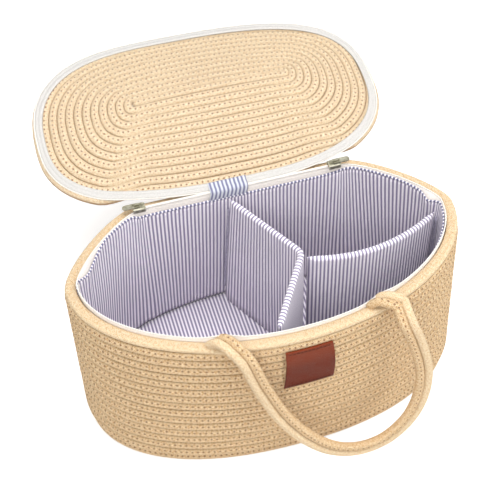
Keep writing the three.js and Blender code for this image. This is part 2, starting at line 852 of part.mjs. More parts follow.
for (const [side, sign] of [["left", -1], ["right", 1]]) {
  add("front_handle_" + side + "_root", handle(rootRoute(sign), frontFacing, false), ROPE, 0.88);
}
add("front_handle", handle(frontRoute(), frontFacing, true), ROPE, 0.88);
const away = new THREE.Vector3(0, 1, 0);
add("back_handle", handle(backRoute(), () => away, true), ROPE, 0.88);

// Leather patch, sewn under the rim at the front

function leatherPatch() {
  const top = BODY_HEIGHT - RIM_ROPE - PATCH_DROP;
  const bottom = top - PATCH_HEIGHT;
  const middle = (top + bottom) / 2;
  const from = columnAt(middle, 0, PATCH_SHIFT - PATCH_WIDTH / 2, true);
  const to = columnAt(middle, 0, PATCH_SHIFT + PATCH_WIDTH / 2, true);
  const profile = band(-GAP / 2 - PATCH_THICKNESS, -GAP / 2, bottom, top);
  return alongBody(profile, from, to);
}

add("leather_patch", leatherPatch(), LEATHER, 0.45);

// Dividers: boards in striped covers, lifted out as one set

const dividers = new THREE.Group();
part.add(dividers);

// A plan path given a thickness.
function thickPath(path, thickness) {
  const left = [];
  const right = [];
  path.forEach((point, i) => {
    const before = path[Math.max(i - 1, 0)];
    const after = path[Math.min(i + 1, path.length - 1)];
    const along = after.clone().sub(before).normalize();
    const side = new THREE.Vector2(-along.y, along.x).multiplyScalar(thickness / 2);
    left.push(point.clone().add(side));
    right.push(point.clone().sub(side));
  });
  return new THREE.Shape([...left, ...right.reverse()]);
}

function shorten(path, length) {
  const trimmed = path.map((point) => point.clone());
  const ends = [[0, 1], [path.length - 1, path.length - 2]];
  for (const [end, next] of ends) {
    const along = path[next].clone().sub(path[end]).normalize();
    trimmed[end].addScaledVector(along, length);
  }
  return trimmed;
}

const DIVIDER_FOOT = FLOOR_TOP + GAP;
const COVER_WALL = (DIVIDER - DIVIDER_BOARD) / 2 - GAP;

// A cover is open underneath, where its board slides in.
function dividerCover(path) {
  const outside = solid(slab(thickPath(path, DIVIDER), DIVIDER_FOOT, DIVIDER_TOP));
  const pocket = thickPath(shorten(path, COVER_WALL), DIVIDER_BOARD + 2 * GAP);
  const hollow = solid(slab(pocket, DIVIDER_FOOT - BOARD, DIVIDER_TOP - COVER_WALL));
  return geometryOf(outside.subtract(hollow));
}

function dividerBoard(path) {
  const plan = thickPath(shorten(path, COVER_WALL + 2 * GAP), DIVIDER_BOARD);
  return slab(plan, DIVIDER_FOOT, DIVIDER_TOP - COVER_WALL - GAP);
}

// From the wall's outside to a divider's end, past the strips that hold it. A cut end meets the
// lining at a slant, so it stays back by a third of the divider's thickness.
const STRIP_INSET = LINING_INSET + CLOTH + GAP;
const END_INSET = STRIP_INSET + LOOP_STRIP + GAP + HOOK_STRIP + GAP + DIVIDER / 3;

// The divider's end at x. It stands upright, so it takes the nearer of the foot's and rim's walls.
function wallPoint(x, isFront) {
  const [foot, rim] = [DIVIDER_FOOT, RIM_LEVEL].map((height) =>
    onRing(bodyRing(height, END_INSET), columnAt(height, END_INSET, x, isFront)),
  );
  return new THREE.Vector2(x, Math.abs(foot.y) < Math.abs(rim.y) ? foot.y : rim.y);
}

function rightEnd(height) {
  return bodyRing(height, END_INSET)[0].x;
}

const junction = new THREE.Vector2(JUNCTION_X, JUNCTION_Y);
const crossBack = wallPoint(CROSS_BACK_X, false);
const crossFront = wallPoint(CROSS_FRONT_X, true);
const longStart = junction.clone().add(new THREE.Vector2(DIVIDER / 2 + 4 * GAP, 0));
const longEndX = Math.min(rightEnd(DIVIDER_FOOT), rightEnd(RIM_LEVEL));
const longEnd = new THREE.Vector2(longEndX, LONG_END_Y);
const longMiddle = longStart.clone().lerp(longEnd, 0.5);
const longBow = longMiddle.clone().add(new THREE.Vector2(0, -2 * LONG_BOW));

// Cross divider: from the back wall to the junction, then on to the front wall.
const crossPath = [crossBack, junction, crossFront];
// Long divider: from the junction to the right end, bowed to the front.
const longPath = new THREE.QuadraticBezierCurve(longStart, longBow, longEnd).getPoints(9);

add("cross_divider_cover", dividerCover(crossPath), STRIPE, 0.95, dividers);
add("cross_divider_board", dividerBoard(crossPath), BOARD_GREY, 0.9, dividers);
add("long_divider_cover", dividerCover(longPath), STRIPE, 0.95, dividers);
add("long_divider_board", dividerBoard(longPath), BOARD_GREY, 0.9, dividers);

// Hook strips on the dividers' ends, and the loop strips on the lining that they press to

const STRIP_TOP = DIVIDER_TOP - STRIP_DROP;
const STRIP_BOTTOM = STRIP_TOP - STRIP_HEIGHT;

// A strip square to the end of a path, just past it.
function hookStrip(path) {
  const along = path[0].clone().sub(path[1]).normalize();
  const near = path[0].clone().addScaledVector(along, GAP);
  const far = near.clone().addScaledVector(along, HOOK_STRIP);
  return slab(thickPath([near, far], DIVIDER - 2 * COVER_WALL + GAP), STRIP_BOTTOM, STRIP_TOP);
}

// A strip of the loop's width on the lining, about a column.
function loopStrip(middle) {
  const ring = bodyRing(RIM_LEVEL, STRIP_INSET);
  const column = onRing(ring, middle - 0.5).distanceTo(onRing(ring, middle + 0.5));
  const half = LOOP_WIDTH / 2 / column;
  const inside = STRIP_INSET + LOOP_STRIP;
  const profile = band(STRIP_INSET, inside, STRIP_BOTTOM, STRIP_TOP, [MID_LEVEL]);
  return alongBody(profile, middle - half, middle + half);
}

const STRIPS = [
  ["back", crossPath, columnAt(RIM_LEVEL, STRIP_INSET, crossBack.x, false)],
  ["front", [...crossPath].reverse(), columnAt(RIM_LEVEL, STRIP_INSET, crossFront.x, true)],
  ["right", [...longPath].reverse(), COLUMNS],
];
for (const [side, path, column] of STRIPS) {
  add(side + "_hook_strip", hookStrip(path), WHITE, 0.95, dividers);
  add(side + "_loop_strip", loopStrip(column), WHITE, 0.95);
}

export default part;
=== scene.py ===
# %% [markdown]
# # A lidded rope caddy
#
# The real object is a nappy caddy: an oval basket of cotton rope, wound in rows and sewn row to
# row, with a striped cotton lining, lift-out dividers, two rope handles, a leather patch and a
# rope lid that a zip joins to the rim. The frame brings in the measured solids. Each soft piece
# is then modelled again over its solid, because rope and cloth need rows, folds and a weave.

# %% Open the frame
import math

import bpy
import numpy as np
from mathutils import Matrix, Vector


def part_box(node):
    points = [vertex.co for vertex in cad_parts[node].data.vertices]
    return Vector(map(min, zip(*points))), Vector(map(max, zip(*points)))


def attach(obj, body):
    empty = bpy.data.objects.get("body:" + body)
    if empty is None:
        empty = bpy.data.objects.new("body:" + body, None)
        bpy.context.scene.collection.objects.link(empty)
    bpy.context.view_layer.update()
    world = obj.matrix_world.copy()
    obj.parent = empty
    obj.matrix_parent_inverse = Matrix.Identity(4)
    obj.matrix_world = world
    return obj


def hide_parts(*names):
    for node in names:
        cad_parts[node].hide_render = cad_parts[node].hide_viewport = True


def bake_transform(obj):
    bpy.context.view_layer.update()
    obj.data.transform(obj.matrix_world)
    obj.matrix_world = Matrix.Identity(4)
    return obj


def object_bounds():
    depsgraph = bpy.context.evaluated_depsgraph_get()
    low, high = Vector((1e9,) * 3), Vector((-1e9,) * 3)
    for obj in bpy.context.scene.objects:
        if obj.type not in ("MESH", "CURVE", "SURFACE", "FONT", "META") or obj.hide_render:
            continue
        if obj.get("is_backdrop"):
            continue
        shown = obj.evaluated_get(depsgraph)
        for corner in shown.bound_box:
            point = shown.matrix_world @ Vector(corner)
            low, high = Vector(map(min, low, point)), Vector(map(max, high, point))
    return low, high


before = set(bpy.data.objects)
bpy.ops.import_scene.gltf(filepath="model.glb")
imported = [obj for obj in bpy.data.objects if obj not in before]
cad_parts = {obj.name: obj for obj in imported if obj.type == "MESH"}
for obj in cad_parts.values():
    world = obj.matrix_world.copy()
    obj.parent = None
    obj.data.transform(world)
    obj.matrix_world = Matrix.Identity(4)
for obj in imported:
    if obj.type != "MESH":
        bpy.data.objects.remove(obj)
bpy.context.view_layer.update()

# %% [markdown]
# ## Camera
#
# The camera comes first, so that every later choice can be looked at from the place where the
# photograph was taken. Its place was found by fitting the basket's own outlines, so it is written
# as an aim point, a distance, three angles and a small slide in the picture's plane.

# %% Place the camera
AIM = Vector((0, 0.012, 0.09))
AZIMUTH, ELEVATION, ROLL = (math.radians(v) for v in (-14.728, 48.95, -2.025))
DISTANCE = 1.099737
SLIDE_RIGHT, SLIDE_UP = -0.013726, 0.049195
PICTURE = 500
FOCAL_PIXELS = 1100.295

back = Vector((
    math.sin(AZIMUTH) * math.cos(ELEVATION),
    -math.cos(AZIMUTH) * math.cos(ELEVATION),
    math.sin(ELEVATION),
))
level_right = Vector((math.cos(AZIMUTH), math.sin(AZIMUTH), 0))
level_up = back.cross(level_right).normalized()
right = level_right * math.cos(ROLL) + level_up * math.sin(ROLL)
up = level_up * math.cos(ROLL) - level_right * math.sin(ROLL)

bpy.ops.object.camera_add()
camera = bpy.context.object
camera.name = "photo_camera"
turn = Matrix((right, up, back)).transposed().to_4x4()
place = AIM + back * DISTANCE + right * SLIDE_RIGHT + up * SLIDE_UP
camera.matrix_world = Matrix.Translation(place) @ turn
camera.data.sensor_width = 36
camera.data.lens = FOCAL_PIXELS * camera.data.sensor_width / PICTURE
bpy.context.scene.camera = camera
print("camera stands at", [round(v, 3) for v in place])

# %% [markdown]
# ## The basket's plan
#
# Every row, skin and tape follows the same plan: an oval base, and a rim that bows out in front
# and is pulled straight behind by the open lid. One function gives the point at any angle, height
# and distance in from the outside, so all pieces nest. Lengths here are in millimetres.

# %% Outlines of the base and the rim
BASE_HALF = (193.0, 109.0)
BASE_BEND = 2 / 2.25
RIM_HALF_LENGTH = 190.0
RIM_WIDEST = 6.0
RIM_FRONT = 108.0
RIM_BACK = 93.0
STRAIGHT_HALF = 100.0
RIM_LEVEL = 176.0
CORNER_TURN = math.pi / 3
NEXT_TURN = math.pi / 18


def power(value, exponent):
    return np.sign(value) * np.abs(value) ** exponent


def base_outline(turn):
    x = BASE_HALF[0] * power(np.cos(turn), BASE_BEND)
    y = BASE_HALF[1] * power(np.sin(turn), BASE_BEND)
    return np.stack([x, y], -1)


def rim_outline(turn):
    turn = np.mod(turn, 2 * math.pi)
    front = np.stack([
        RIM_HALF_LENGTH * np.cos(turn),
        RIM_WIDEST + (RIM_FRONT + RIM_WIDEST) * np.sin(turn),
    ], -1)
    side = np.where(np.cos(turn) < 0, -1.0, 1.0)
    from_end = np.minimum(turn, math.pi - turn)
    s = np.clip(from_end / CORNER_TURN, 0, 1)[..., None]
    corner = (
        (1 - s) ** 3 * np.array([RIM_HALF_LENGTH, RIM_WIDEST])
        + 3 * (1 - s) ** 2 * s * np.array([RIM_HALF_LENGTH, RIM_WIDEST + 24])
        + 3 * (1 - s) * s ** 2 * np.array([STRAIGHT_HALF + 30, RIM_BACK])
        + s ** 3 * np.array([STRAIGHT_HALF, RIM_BACK])
    )
    corner = np.stack([side * corner[..., 0], corner[..., 1]], -1)
    along = STRAIGHT_HALF * np.cos(turn) / math.cos(CORNER_TURN)
    straight = np.stack([along, np.full_like(along, RIM_BACK)], -1)
    behind = np.where((from_end < CORNER_TURN)[..., None], corner, straight)
    return np.where((np.sin(turn) <= 0)[..., None], front, behind)


# %% A point of the basket at any turn, height and inset
FRONT_DIP, FRONT_DIP_AT = 5.0, 282.0


def inset_outline(outline, turn, inset):
    along = outline(turn + NEXT_TURN) - outline(turn - NEXT_TURN)
    along = along / np.linalg.norm(along, axis=-1, keepdims=True)
    inward = np.stack([-along[..., 1], along[..., 0]], -1)
    return outline(turn) + inward * inset[..., None]


def front_dip(turn):
    """How far the soft rim sinks in front, where the handle pulls at it, as a share of the height."""
    off = np.mod(np.degrees(turn), 360) - FRONT_DIP_AT
    return FRONT_DIP / 182 * np.exp(-(off / 50) ** 2)


def body_point(turn, height, inset):
    turn, height, inset = np.broadcast_arrays(*(np.asarray(v, float) for v in (turn, height, inset)))
    share = np.clip(height / RIM_LEVEL, 0, 1)[..., None]
    low = inset_outline(base_outline, turn, inset)
    high = inset_outline(rim_outline, turn, inset)
    sunk = height * (1 - front_dip(turn))
    return np.concatenate([low + (high - low) * share, sunk[..., None]], -1)


rim_lap = body_point(np.linspace(0, 2 * math.pi, 721), RIM_LEVEL, 0)
rim_length = np.linalg.norm(np.diff(rim_lap, axis=0), axis=1).sum()
print("one lap of the rim measures", round(rim_length), "mm")

# %% [markdown]
# ## A grid wrapped over a form
#
# Rope and cloth are both long strips that bend round something. A flat grid is added with
# Blender's own operator, its crossings are carried to their places on the form, and the edges that
# meet are merged. The grid keeps its UV map, which is then stretched to real metres, so that
# stitches and stripes repeat at their true pitch. This was chosen over a bevelled curve because
# the rope changes its section where it is squeezed, and cloth isn't round at all.

# %% Helpers that add a grid and wrap it
MM = 0.001


def clear_selection():
    if bpy.context.object and bpy.context.object.mode != "OBJECT":
        bpy.ops.object.mode_set(mode="OBJECT")
    bpy.ops.object.select_all(action="DESELECT")


def focus(piece):
    clear_selection()
    piece.select_set(True)
    bpy.context.view_layer.objects.active = piece


def wrap_grid(name, places, along=None, across=None):
    """Adds a grid with a crossing for each of places[i][j], in millimetres, and moves it there."""
    long, wide = places.shape[0] - 1, places.shape[1] - 1
    clear_selection()
    bpy.ops.mesh.primitive_grid_add(x_subdivisions=long, y_subdivisions=wide, size=2)
    piece = bpy.context.object
    piece.name = name
    mesh = piece.data
    flat = np.empty(len(mesh.vertices) * 3)
    mesh.vertices.foreach_get("co", flat)
    flat = flat.reshape(-1, 3)
    i = np.rint((flat[:, 0] + 1) / 2 * long).astype(int)
    j = np.rint((flat[:, 1] + 1) / 2 * wide).astype(int)
    mesh.vertices.foreach_set("co", (places[i, j] * MM).ravel())
    corner = np.empty(len(mesh.loops), int)
    mesh.loops.foreach_get("vertex_index", corner)
    u = np.linspace(0, 1, long + 1) if along is None else np.asarray(along)
    v = np.linspace(0, 1, wide + 1) if across is None else np.asarray(across)
    mesh.uv_layers.active.data.foreach_set("uv", np.stack([u[i[corner]], v[j[corner]]], -1).ravel())
    focus(piece)
    bpy.ops.object.mode_set(mode="EDIT")
    bpy.ops.mesh.select_all(action="SELECT")
    bpy.ops.mesh.remove_doubles(threshold=0.00001)
    bpy.ops.mesh.normals_make_consistent(inside=False)
    bpy.ops.object.mode_set(mode="OBJECT")
    bpy.ops.object.shade_smooth()
    return piece


def finish_piece(piece, body, nodes=()):
    """The piece rides on its body, if one is named, and stands for the solids that it covers."""
    if body:
        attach(piece, body)
    if nodes:
        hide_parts(*nodes)
    return piece


def apply_modifiers(piece):
    focus(piece)
    for modifier in list(piece.modifiers):
        bpy.ops.object.modifier_apply(modifier=modifier.name)


# %% [markdown]
# ## Laying rope
#
# A rope that is sewn to its neighbours isn't round: it is squeezed flat where rows meet. Its
# section is a rounded square, carried along a path whose outward and upward directions are known
# at each step. The section starts on the hidden side, so the UV seam is out of sight and the
# middle of the visible side is always at half way round.

# %% Carry a rope's section along a path
def unit(vectors):
    return vectors / np.linalg.norm(vectors, axis=-1, keepdims=True)


def lengths_along(points):
    steps = np.linalg.norm(np.diff(points, axis=0), axis=1)
    return np.concatenate([[0], np.cumsum(steps)])


def lay_rope(name, centres, outward, upward, half_out, half_up, sides=12, squareness=2.6):
    steps = len(centres)
    half_out = np.broadcast_to(half_out, steps)[:, None, None]
    half_up = np.broadcast_to(half_up, steps)[:, None, None]
    turn = np.linspace(0, 2 * math.pi, sides + 1)
    out = power(-np.cos(turn), 2 / squareness)[None, :, None]
    rise = power(-np.sin(turn), 2 / squareness)[None, :, None]
    places = (
        centres[:, None, :]
        + outward[:, None, :] * half_out * out
        + upward[:, None, :] * half_up * rise
    )
    return wrap_grid(name, places, along=lengths_along(centres) * MM)


def taper(count, at_start, at_end):
    """A share for each step, from almost nothing at an end to one after so many steps."""
    step = np.arange(count)
    share = np.ones(count)
    if at_start:
        share = np.minimum(share, np.sqrt(np.clip(step / at_start, 0, 1)))
    if at_end:
        share = np.minimum(share, np.sqrt(np.clip((count - 1 - step) / at_end, 0, 1)))
    return share


# %% [markdown]
# ## Colours and shared effects
#
# Colours are read as a screen shows them and turned into the linear values that shaders use. The
# rope's braid, its needle holes and the cloth's stripes are each one node group, used by several
# materials with their own values.

# %% Colour and node helpers
def colour(red, green, blue):
    def linear(value):
        value = value / 255
        return value / 12.92 if value <= 0.04045 else ((value + 0.055) / 1.055) ** 2.4
    return (linear(red), linear(green), linear(blue), 1.0)


class Bench:
    """A short way to add nodes to one tree and to wire them."""

    def __init__(self, tree):
        self.tree = tree

    def add(self, kind, **settings):
        node = self.tree.nodes.new(kind)
        for name, value in settings.items():
            setattr(node, name, value)
        return node

    def wire(self, source, target):
        self.tree.links.new(source, target)

    def feed(self, socket, value):
        if isinstance(value, bpy.types.NodeSocket):
            self.wire(value, socket)
        else:
            socket.default_value = value

    def math(self, operation, a, b=0.0, c=None):
        node = self.add("ShaderNodeMath", operation=operation)
        self.feed(node.inputs[0], a)
        self.feed(node.inputs[1], b)
        if c is not None:
            self.feed(node.inputs[2], c)
        return node.outputs[0]

    def mix(self, share, a, b, kind="MIX"):
        node = self.add("ShaderNodeMix", data_type="RGBA", blend_type=kind)
        self.feed(node.inputs[0], share)
        self.feed(node.inputs[6], a)
        self.feed(node.inputs[7], b)
        return node.outputs[2]

    def span(self, value, low, high, to_low=0.0, to_high=1.0, smooth=True):
        kind = "SMOOTHSTEP" if smooth else "LINEAR"
        node = self.add("ShaderNodeMapRange", interpolation_type=kind)
        for socket, number in zip(node.inputs[:5], (value, low, high, to_low, to_high)):
            self.feed(socket, number)
        return node.outputs[0]

    def noise(self, vector, scale, detail=2.0, roughness=0.5):
        node = self.add("ShaderNodeTexNoise")
        self.feed(node.inputs["Vector"], vector)
        node.inputs["Scale"].default_value = scale
        node.inputs["Detail"].default_value = detail
        node.inputs["Roughness"].default_value = roughness
        return node.outputs["Fac"]


def new_group(name, inputs, outputs):
    """inputs and outputs are lists of (name, kind, default)."""
    group = bpy.data.node_groups.new(name, "ShaderNodeTree")
    for label, kind, default in inputs:
        socket = group.interface.new_socket(label, in_out="INPUT", socket_type=kind)
        if default is not None:
            socket.default_value = default
    for label, kind, _ in outputs:
        group.interface.new_socket(label, in_out="OUTPUT", socket_type=kind)
    bench = Bench(group)
    return group, bench, bench.add("NodeGroupInput"), bench.add("NodeGroupOutput")


# %% [markdown]
# ### The rope's braid
#
# The rope is a tube of fine yarns braided left and right over a core. Seen from a step away that
# is a speckle of short slanted grains. Two sets of slanted ridges cross in the rope's own UV, and
# noise breaks them up. Round the rope is about 31 mm, so one turn of V is worth that much of U.

# %% Braid as a node group
ROUND_ROPE = 0.031
FLOAT, COLOUR, VECTOR = "NodeSocketFloat", "NodeSocketColor", "NodeSocketVector"

braid, b, start, end = new_group(
    "rope_braid",
    [("UV", VECTOR, None), ("Grain", FLOAT, 0.0022), ("Contrast", FLOAT, 1.0)],
    [("Height", FLOAT, None), ("Fleck", FLOAT, None)],
)
uv = b.add("ShaderNodeSeparateXYZ")
b.wire(start.outputs["UV"], uv.inputs[0])
around = b.math("MULTIPLY", uv.outputs["Y"], ROUND_ROPE)
metres = b.add("ShaderNodeCombineXYZ")
b.wire(uv.outputs["X"], metres.inputs[0])
b.wire(around, metres.inputs[1])
drift = b.math("MULTIPLY", b.noise(metres.outputs[0], 260, 2), 0.0012)
rings = []
for sign in (1, -1):
    slant = b.math("MULTIPLY_ADD", around, sign * 0.8, uv.outputs["X"])
    slant = b.math("ADD", slant, drift)
    turns = b.math("DIVIDE", slant, start.outputs["Grain"])
    ridge = b.math("SINE", b.math("MULTIPLY", turns, 2 * math.pi))
    rings.append(b.math("MULTIPLY_ADD", ridge, 0.5, 0.5))
weave = b.math("MULTIPLY", rings[0], rings[1])
fluff = b.noise(metres.outputs[0], 950, 3, 0.75)
height = b.math("MULTIPLY_ADD", fluff, 0.6, weave)
b.wire(b.math("MULTIPLY", height, start.outputs["Contrast"]), end.inputs["Height"])
grain = b.math("MULTIPLY_ADD", b.noise(metres.outputs[0], 480, 2, 0.65), 0.75, b.math("MULTIPLY", weave, 0.25))
b.wire(b.span(grain, 0.28, 0.52), end.inputs["Fleck"])

# %% [markdown]
# ### Needle holes and zigzag stitches
#
# A zigzag seam joins each row to the next. What shows is a line of small needle holes along the
# middle of each row, one every 5 mm, with the thread slanting from the holes to the joints. Both
# are drawn from the rope's UV, as a mask for the holes and one for the threads.

# %% Stitches as a node group
stitches, b, start, end = new_group(
    "zigzag_stitches",
    [("UV", VECTOR, None), ("Pitch", FLOAT, 0.0053), ("Middle", FLOAT, 0.5)],
    [("Hole", FLOAT, None), ("Thread", FLOAT, None)],
)
uv = b.add("ShaderNodeSeparateXYZ")
b.wire(start.outputs["UV"], uv.inputs[0])
wobble = b.noise(start.outputs["UV"], 90, 1)
step = b.math("DIVIDE", uv.outputs["X"], start.outputs["Pitch"])
step = b.math("MULTIPLY_ADD", wobble, 0.5, step)
phase = b.math("FRACT", step)
off_middle = b.math("SUBTRACT", uv.outputs["Y"], start.outputs["Middle"])
side = b.math("MULTIPLY", off_middle, ROUND_ROPE)
along_gap = b.math("MULTIPLY", b.math("SUBTRACT", phase, 0.5), start.outputs["Pitch"])
jitter = b.math("MULTIPLY_ADD", b.noise(start.outputs["UV"], 160, 0), 0.002, -0.001)
height_gap = b.math("ADD", side, jitter)
spread = b.math("SQRT", b.math("ADD", b.math("POWER", along_gap, 2), b.math("POWER", height_gap, 2)))
b.wire(b.span(spread, 0.0005, 0.00115, 1.0, 0.0), end.inputs["Hole"])
reach = b.math("ABSOLUTE", side)
slant = b.math("ABSOLUTE", b.math("SUBTRACT", b.math("ABSOLUTE", along_gap), b.math("MULTIPLY", reach, 0.55)))
thread = b.span(slant, 0.0003, 0.0007, 1.0, 0.0)
b.wire(b.math("MULTIPLY", thread, b.math("LESS_THAN", reach, 0.0062)), end.inputs["Thread"])

# %% [markdown]
# ### Stripes
#
# The lining is white cotton with a narrow blue-grey stripe woven in. The stripe's edge is a little
# soft and its width drifts, and single threads show as fine lines along and across it.

# %% Stripes as a node group
stripes, b, start, end = new_group(
    "woven_stripes",
    [
        ("Across", FLOAT, 0.0), ("Along", FLOAT, 0.0), ("Pitch", FLOAT, 0.0045),
        ("Dark share", FLOAT, 0.45), ("Pale", COLOUR, None), ("Dark", COLOUR, None),
    ],
    [("Colour", COLOUR, None), ("Height", FLOAT, None)],
)
place = b.add("ShaderNodeCombineXYZ")
b.wire(start.outputs["Across"], place.inputs[0])
b.wire(start.outputs["Along"], place.inputs[1])
drift = b.math("MULTIPLY_ADD", b.noise(place.outputs[0], 40, 2), 0.12, -0.06)
count = b.math("ADD", b.math("DIVIDE", start.outputs["Across"], start.outputs["Pitch"]), drift)
from_middle = b.math("ABSOLUTE", b.math("SUBTRACT", b.math("FRACT", count), 0.5))
half = b.math("MULTIPLY", start.outputs["Dark share"], 0.5)
mask = b.span(from_middle, b.math("SUBTRACT", half, 0.06), b.math("ADD", half, 0.06), 1.0, 0.0)
threads = b.noise(place.outputs[0], 1500, 2, 0.6)
tone = b.mix(mask, start.outputs["Pale"], start.outputs["Dark"])
shade = b.span(threads, 0.3, 0.7, 0.9, 1.05, smooth=False)
shaded = b.add("ShaderNodeVectorMath", operation="SCALE")
b.wire(tone, shaded.inputs[0])
b.wire(shade, shaded.inputs["Scale"])
b.wire(shaded.outputs[0], end.inputs["Colour"])
b.wire(b.math("MULTIPLY_ADD", mask, 0.4, threads), end.inputs["Height"])


# %% A material's start: its nodes and its shader
def new_material(name, roughness=0.8, specular=0.3):
    material = bpy.data.materials.new(name)
    material.use_nodes = True
    tree = material.node_tree
    tree.nodes.clear()
    bench = Bench(tree)
    shader = bench.add("ShaderNodeBsdfPrincipled")
    output = bench.add("ShaderNodeOutputMaterial")
    bench.wire(shader.outputs[0], output.inputs["Surface"])
    shader.inputs["Roughness"].default_value = roughness
    shader.inputs["Specular IOR Level"].default_value = specular
    return material, bench, shader


def place_group(bench, group, **values):
    node = bench.add("ShaderNodeGroup", node_tree=group)
    for label, value in values.items():
        bench.feed(node.inputs[label.replace("_", " ")], value)
    return node


def bump(bench, shader, height, strength, distance):
    node = bench.add("ShaderNodeBump")
    node.inputs["Strength"].default_value = strength
    node.inputs["Distance"].default_value = distance
    bench.wire(height, node.inputs["Height"])
    bench.wire(node.outputs[0], shader.inputs["Normal"])


def coat(piece, material):
    piece.data.materials.clear()
    piece.data.materials.append(material)


# %% [markdown]
# ### Rope materials
#
# One recipe makes the sewn rope, with holes and threads, and the plain rope of the rim and the
# handle's smooth strand. Where rows touch, the yarn is painted darker and warmer, as painted shade
# and bounced light from yarn to yarn; the crowns stay paler.

# %% Rope recipe
STRAW_PALE = colour(255, 230, 190)
STRAW_DEEP = colour(214, 168, 112)
# Painted shade: the dark, warm colour that the grooves between rows are mixed towards.
STRAW_GROOVE_SHADE = colour(136, 80, 28)
HOLE_BROWN = colour(136, 66, 8)


def rope_material(name, sewn, pale=STRAW_PALE, deep=STRAW_DEEP, middle=0.5, shade=0.15):
    material, bench, shader = new_material(name, roughness=0.85, specular=0.12)
    uv = bench.add("ShaderNodeUVMap", uv_map="UVMap")
    twist = place_group(bench, braid, UV=uv.outputs[0])
    tint = bench.mix(twist.outputs["Fleck"], deep, pale)
    patches = bench.noise(uv.outputs[0], 40, 3)
    tint = bench.mix(bench.span(patches, 0.3, 0.7, 0.0, 0.25), tint, deep)
    parts = bench.add("ShaderNodeSeparateXYZ")
    bench.wire(uv.outputs[0], parts.inputs[0])
    # Painted shade in the grooves where rows touch, mixed in by the share shade.
    off = bench.math("ABSOLUTE", bench.math("SUBTRACT", parts.outputs["Y"], 0.5))
    groove_shade = bench.span(off, 0.14, 0.205)
    tint = bench.mix(bench.math("MULTIPLY", groove_shade, shade), tint, STRAW_GROOVE_SHADE)
    height = twist.outputs["Height"]
    if sewn:
        seam = place_group(bench, stitches, UV=uv.outputs[0])
        seam.inputs["Middle"].default_value = middle
        tint = bench.mix(bench.math("MULTIPLY", seam.outputs["Thread"], 0.35), tint, pale)
        tint = bench.mix(bench.math("MULTIPLY", seam.outputs["Hole"], 0.92), tint, HOLE_BROWN)
        height = bench.math("MULTIPLY_ADD", seam.outputs["Thread"], 0.5, height)
        height = bench.math("MULTIPLY_ADD", seam.outputs["Hole"], -0.45, height)
    bench.wire(tint, shader.inputs["Base Color"])
    bump(bench, shader, height, 1.0, 0.0009)
    shader.inputs["Sheen Weight"].default_value = 0.05
    shader.inputs["Sheen Roughness"].default_value = 0.5
    return material


sewn_rope = rope_material("sewn_rope", sewn=True)
wall_rope = rope_material("wall_rope", sewn=True, middle=0.56, shade=0.95)
plain_rope = rope_material("plain_rope", sewn=False, pale=colour(250, 231, 198), deep=colour(226, 190, 142))
# The lid's rope is the same rope, painted paler and less saturated as a painted highlight: the brighter light and
# sheen on the lid's top.
lid_rope_painted_light = rope_material(
    "lid_rope_painted_light", sewn=True, pale=colour(255, 238, 208), deep=colour(230, 194, 148), shade=0.5
)

# %% [markdown]
# ## The wall
#
# The wall is one rope, wound sixteen times round. Each lap is level and climbs to the next at the
# middle of the back, under the hinge, where a basket maker hides the step. The two ends of the
# rope are worked thin there, above and below the step. The foot is drawn in a little, as it is
# where the wall turns up from the base.

# %% Wind the wall
ROWS = 16
BODY_HEIGHT = 182.0
RIM_ROPE = 12.0
RIM_SEEN = 7.4
ROW_PITCH = (BODY_HEIGHT - RIM_SEEN + 0.6) / ROWS
WALL = 9.0
FOOT_HEIGHT = 14.0
FOOT_DRAWN_IN = 6.0
LAP_STEPS = 132
CLIMB_STEPS = 8
BACK_TURN = math.pi / 2


def foot_inset(height):
    return FOOT_DRAWN_IN * np.clip(1 - height / FOOT_HEIGHT, 0, 1) ** 2


wall_steps = ROWS * LAP_STEPS - CLIMB_STEPS
step = np.arange(wall_steps + 1)
turns = BACK_TURN + 2 * math.pi * step / LAP_STEPS
lap = step // LAP_STEPS
into_climb = np.clip((step % LAP_STEPS - (LAP_STEPS - CLIMB_STEPS)) / CLIMB_STEPS, 0, 1)
level = lap + into_climb ** 2 * (3 - 2 * into_climb)
rng = np.random.default_rng(4)
sway = np.convolve(rng.normal(0, 1, wall_steps + 41), np.hanning(41) / 12, "valid")
heights = ROW_PITCH * (level + 0.5) + 0.25 * sway
middle = WALL / 2 + foot_inset(heights) + 0.2 * np.roll(sway, 300)
centres = body_point(turns, heights, middle)
outward = unit(body_point(turns, heights, middle - 1) - body_point(turns, heights, middle + 1))
upward = unit(body_point(turns, heights + 2, middle) - body_point(turns, heights - 2, middle))
thin = taper(wall_steps + 1, CLIMB_STEPS, CLIMB_STEPS)
wall = lay_rope(
    "rope_wall_coil", centres, outward, upward,
    half_out=(WALL / 2 - 0.1) * thin, half_up=(ROW_PITCH / 2 + 0.1) * thin, sides=12, squareness=2.2,
)
coat(wall, wall_rope)
finish_piece(wall, "basket", ["rope_wall"])
print("the wall takes", round(lengths_along(centres)[-1] / 1000, 1), "m of rope")

# %% [markdown]
# ## The rim
#
# The last lap is a smooth rope without stitches on top. It is pressed down a little where the
# handle's ropes cross it.

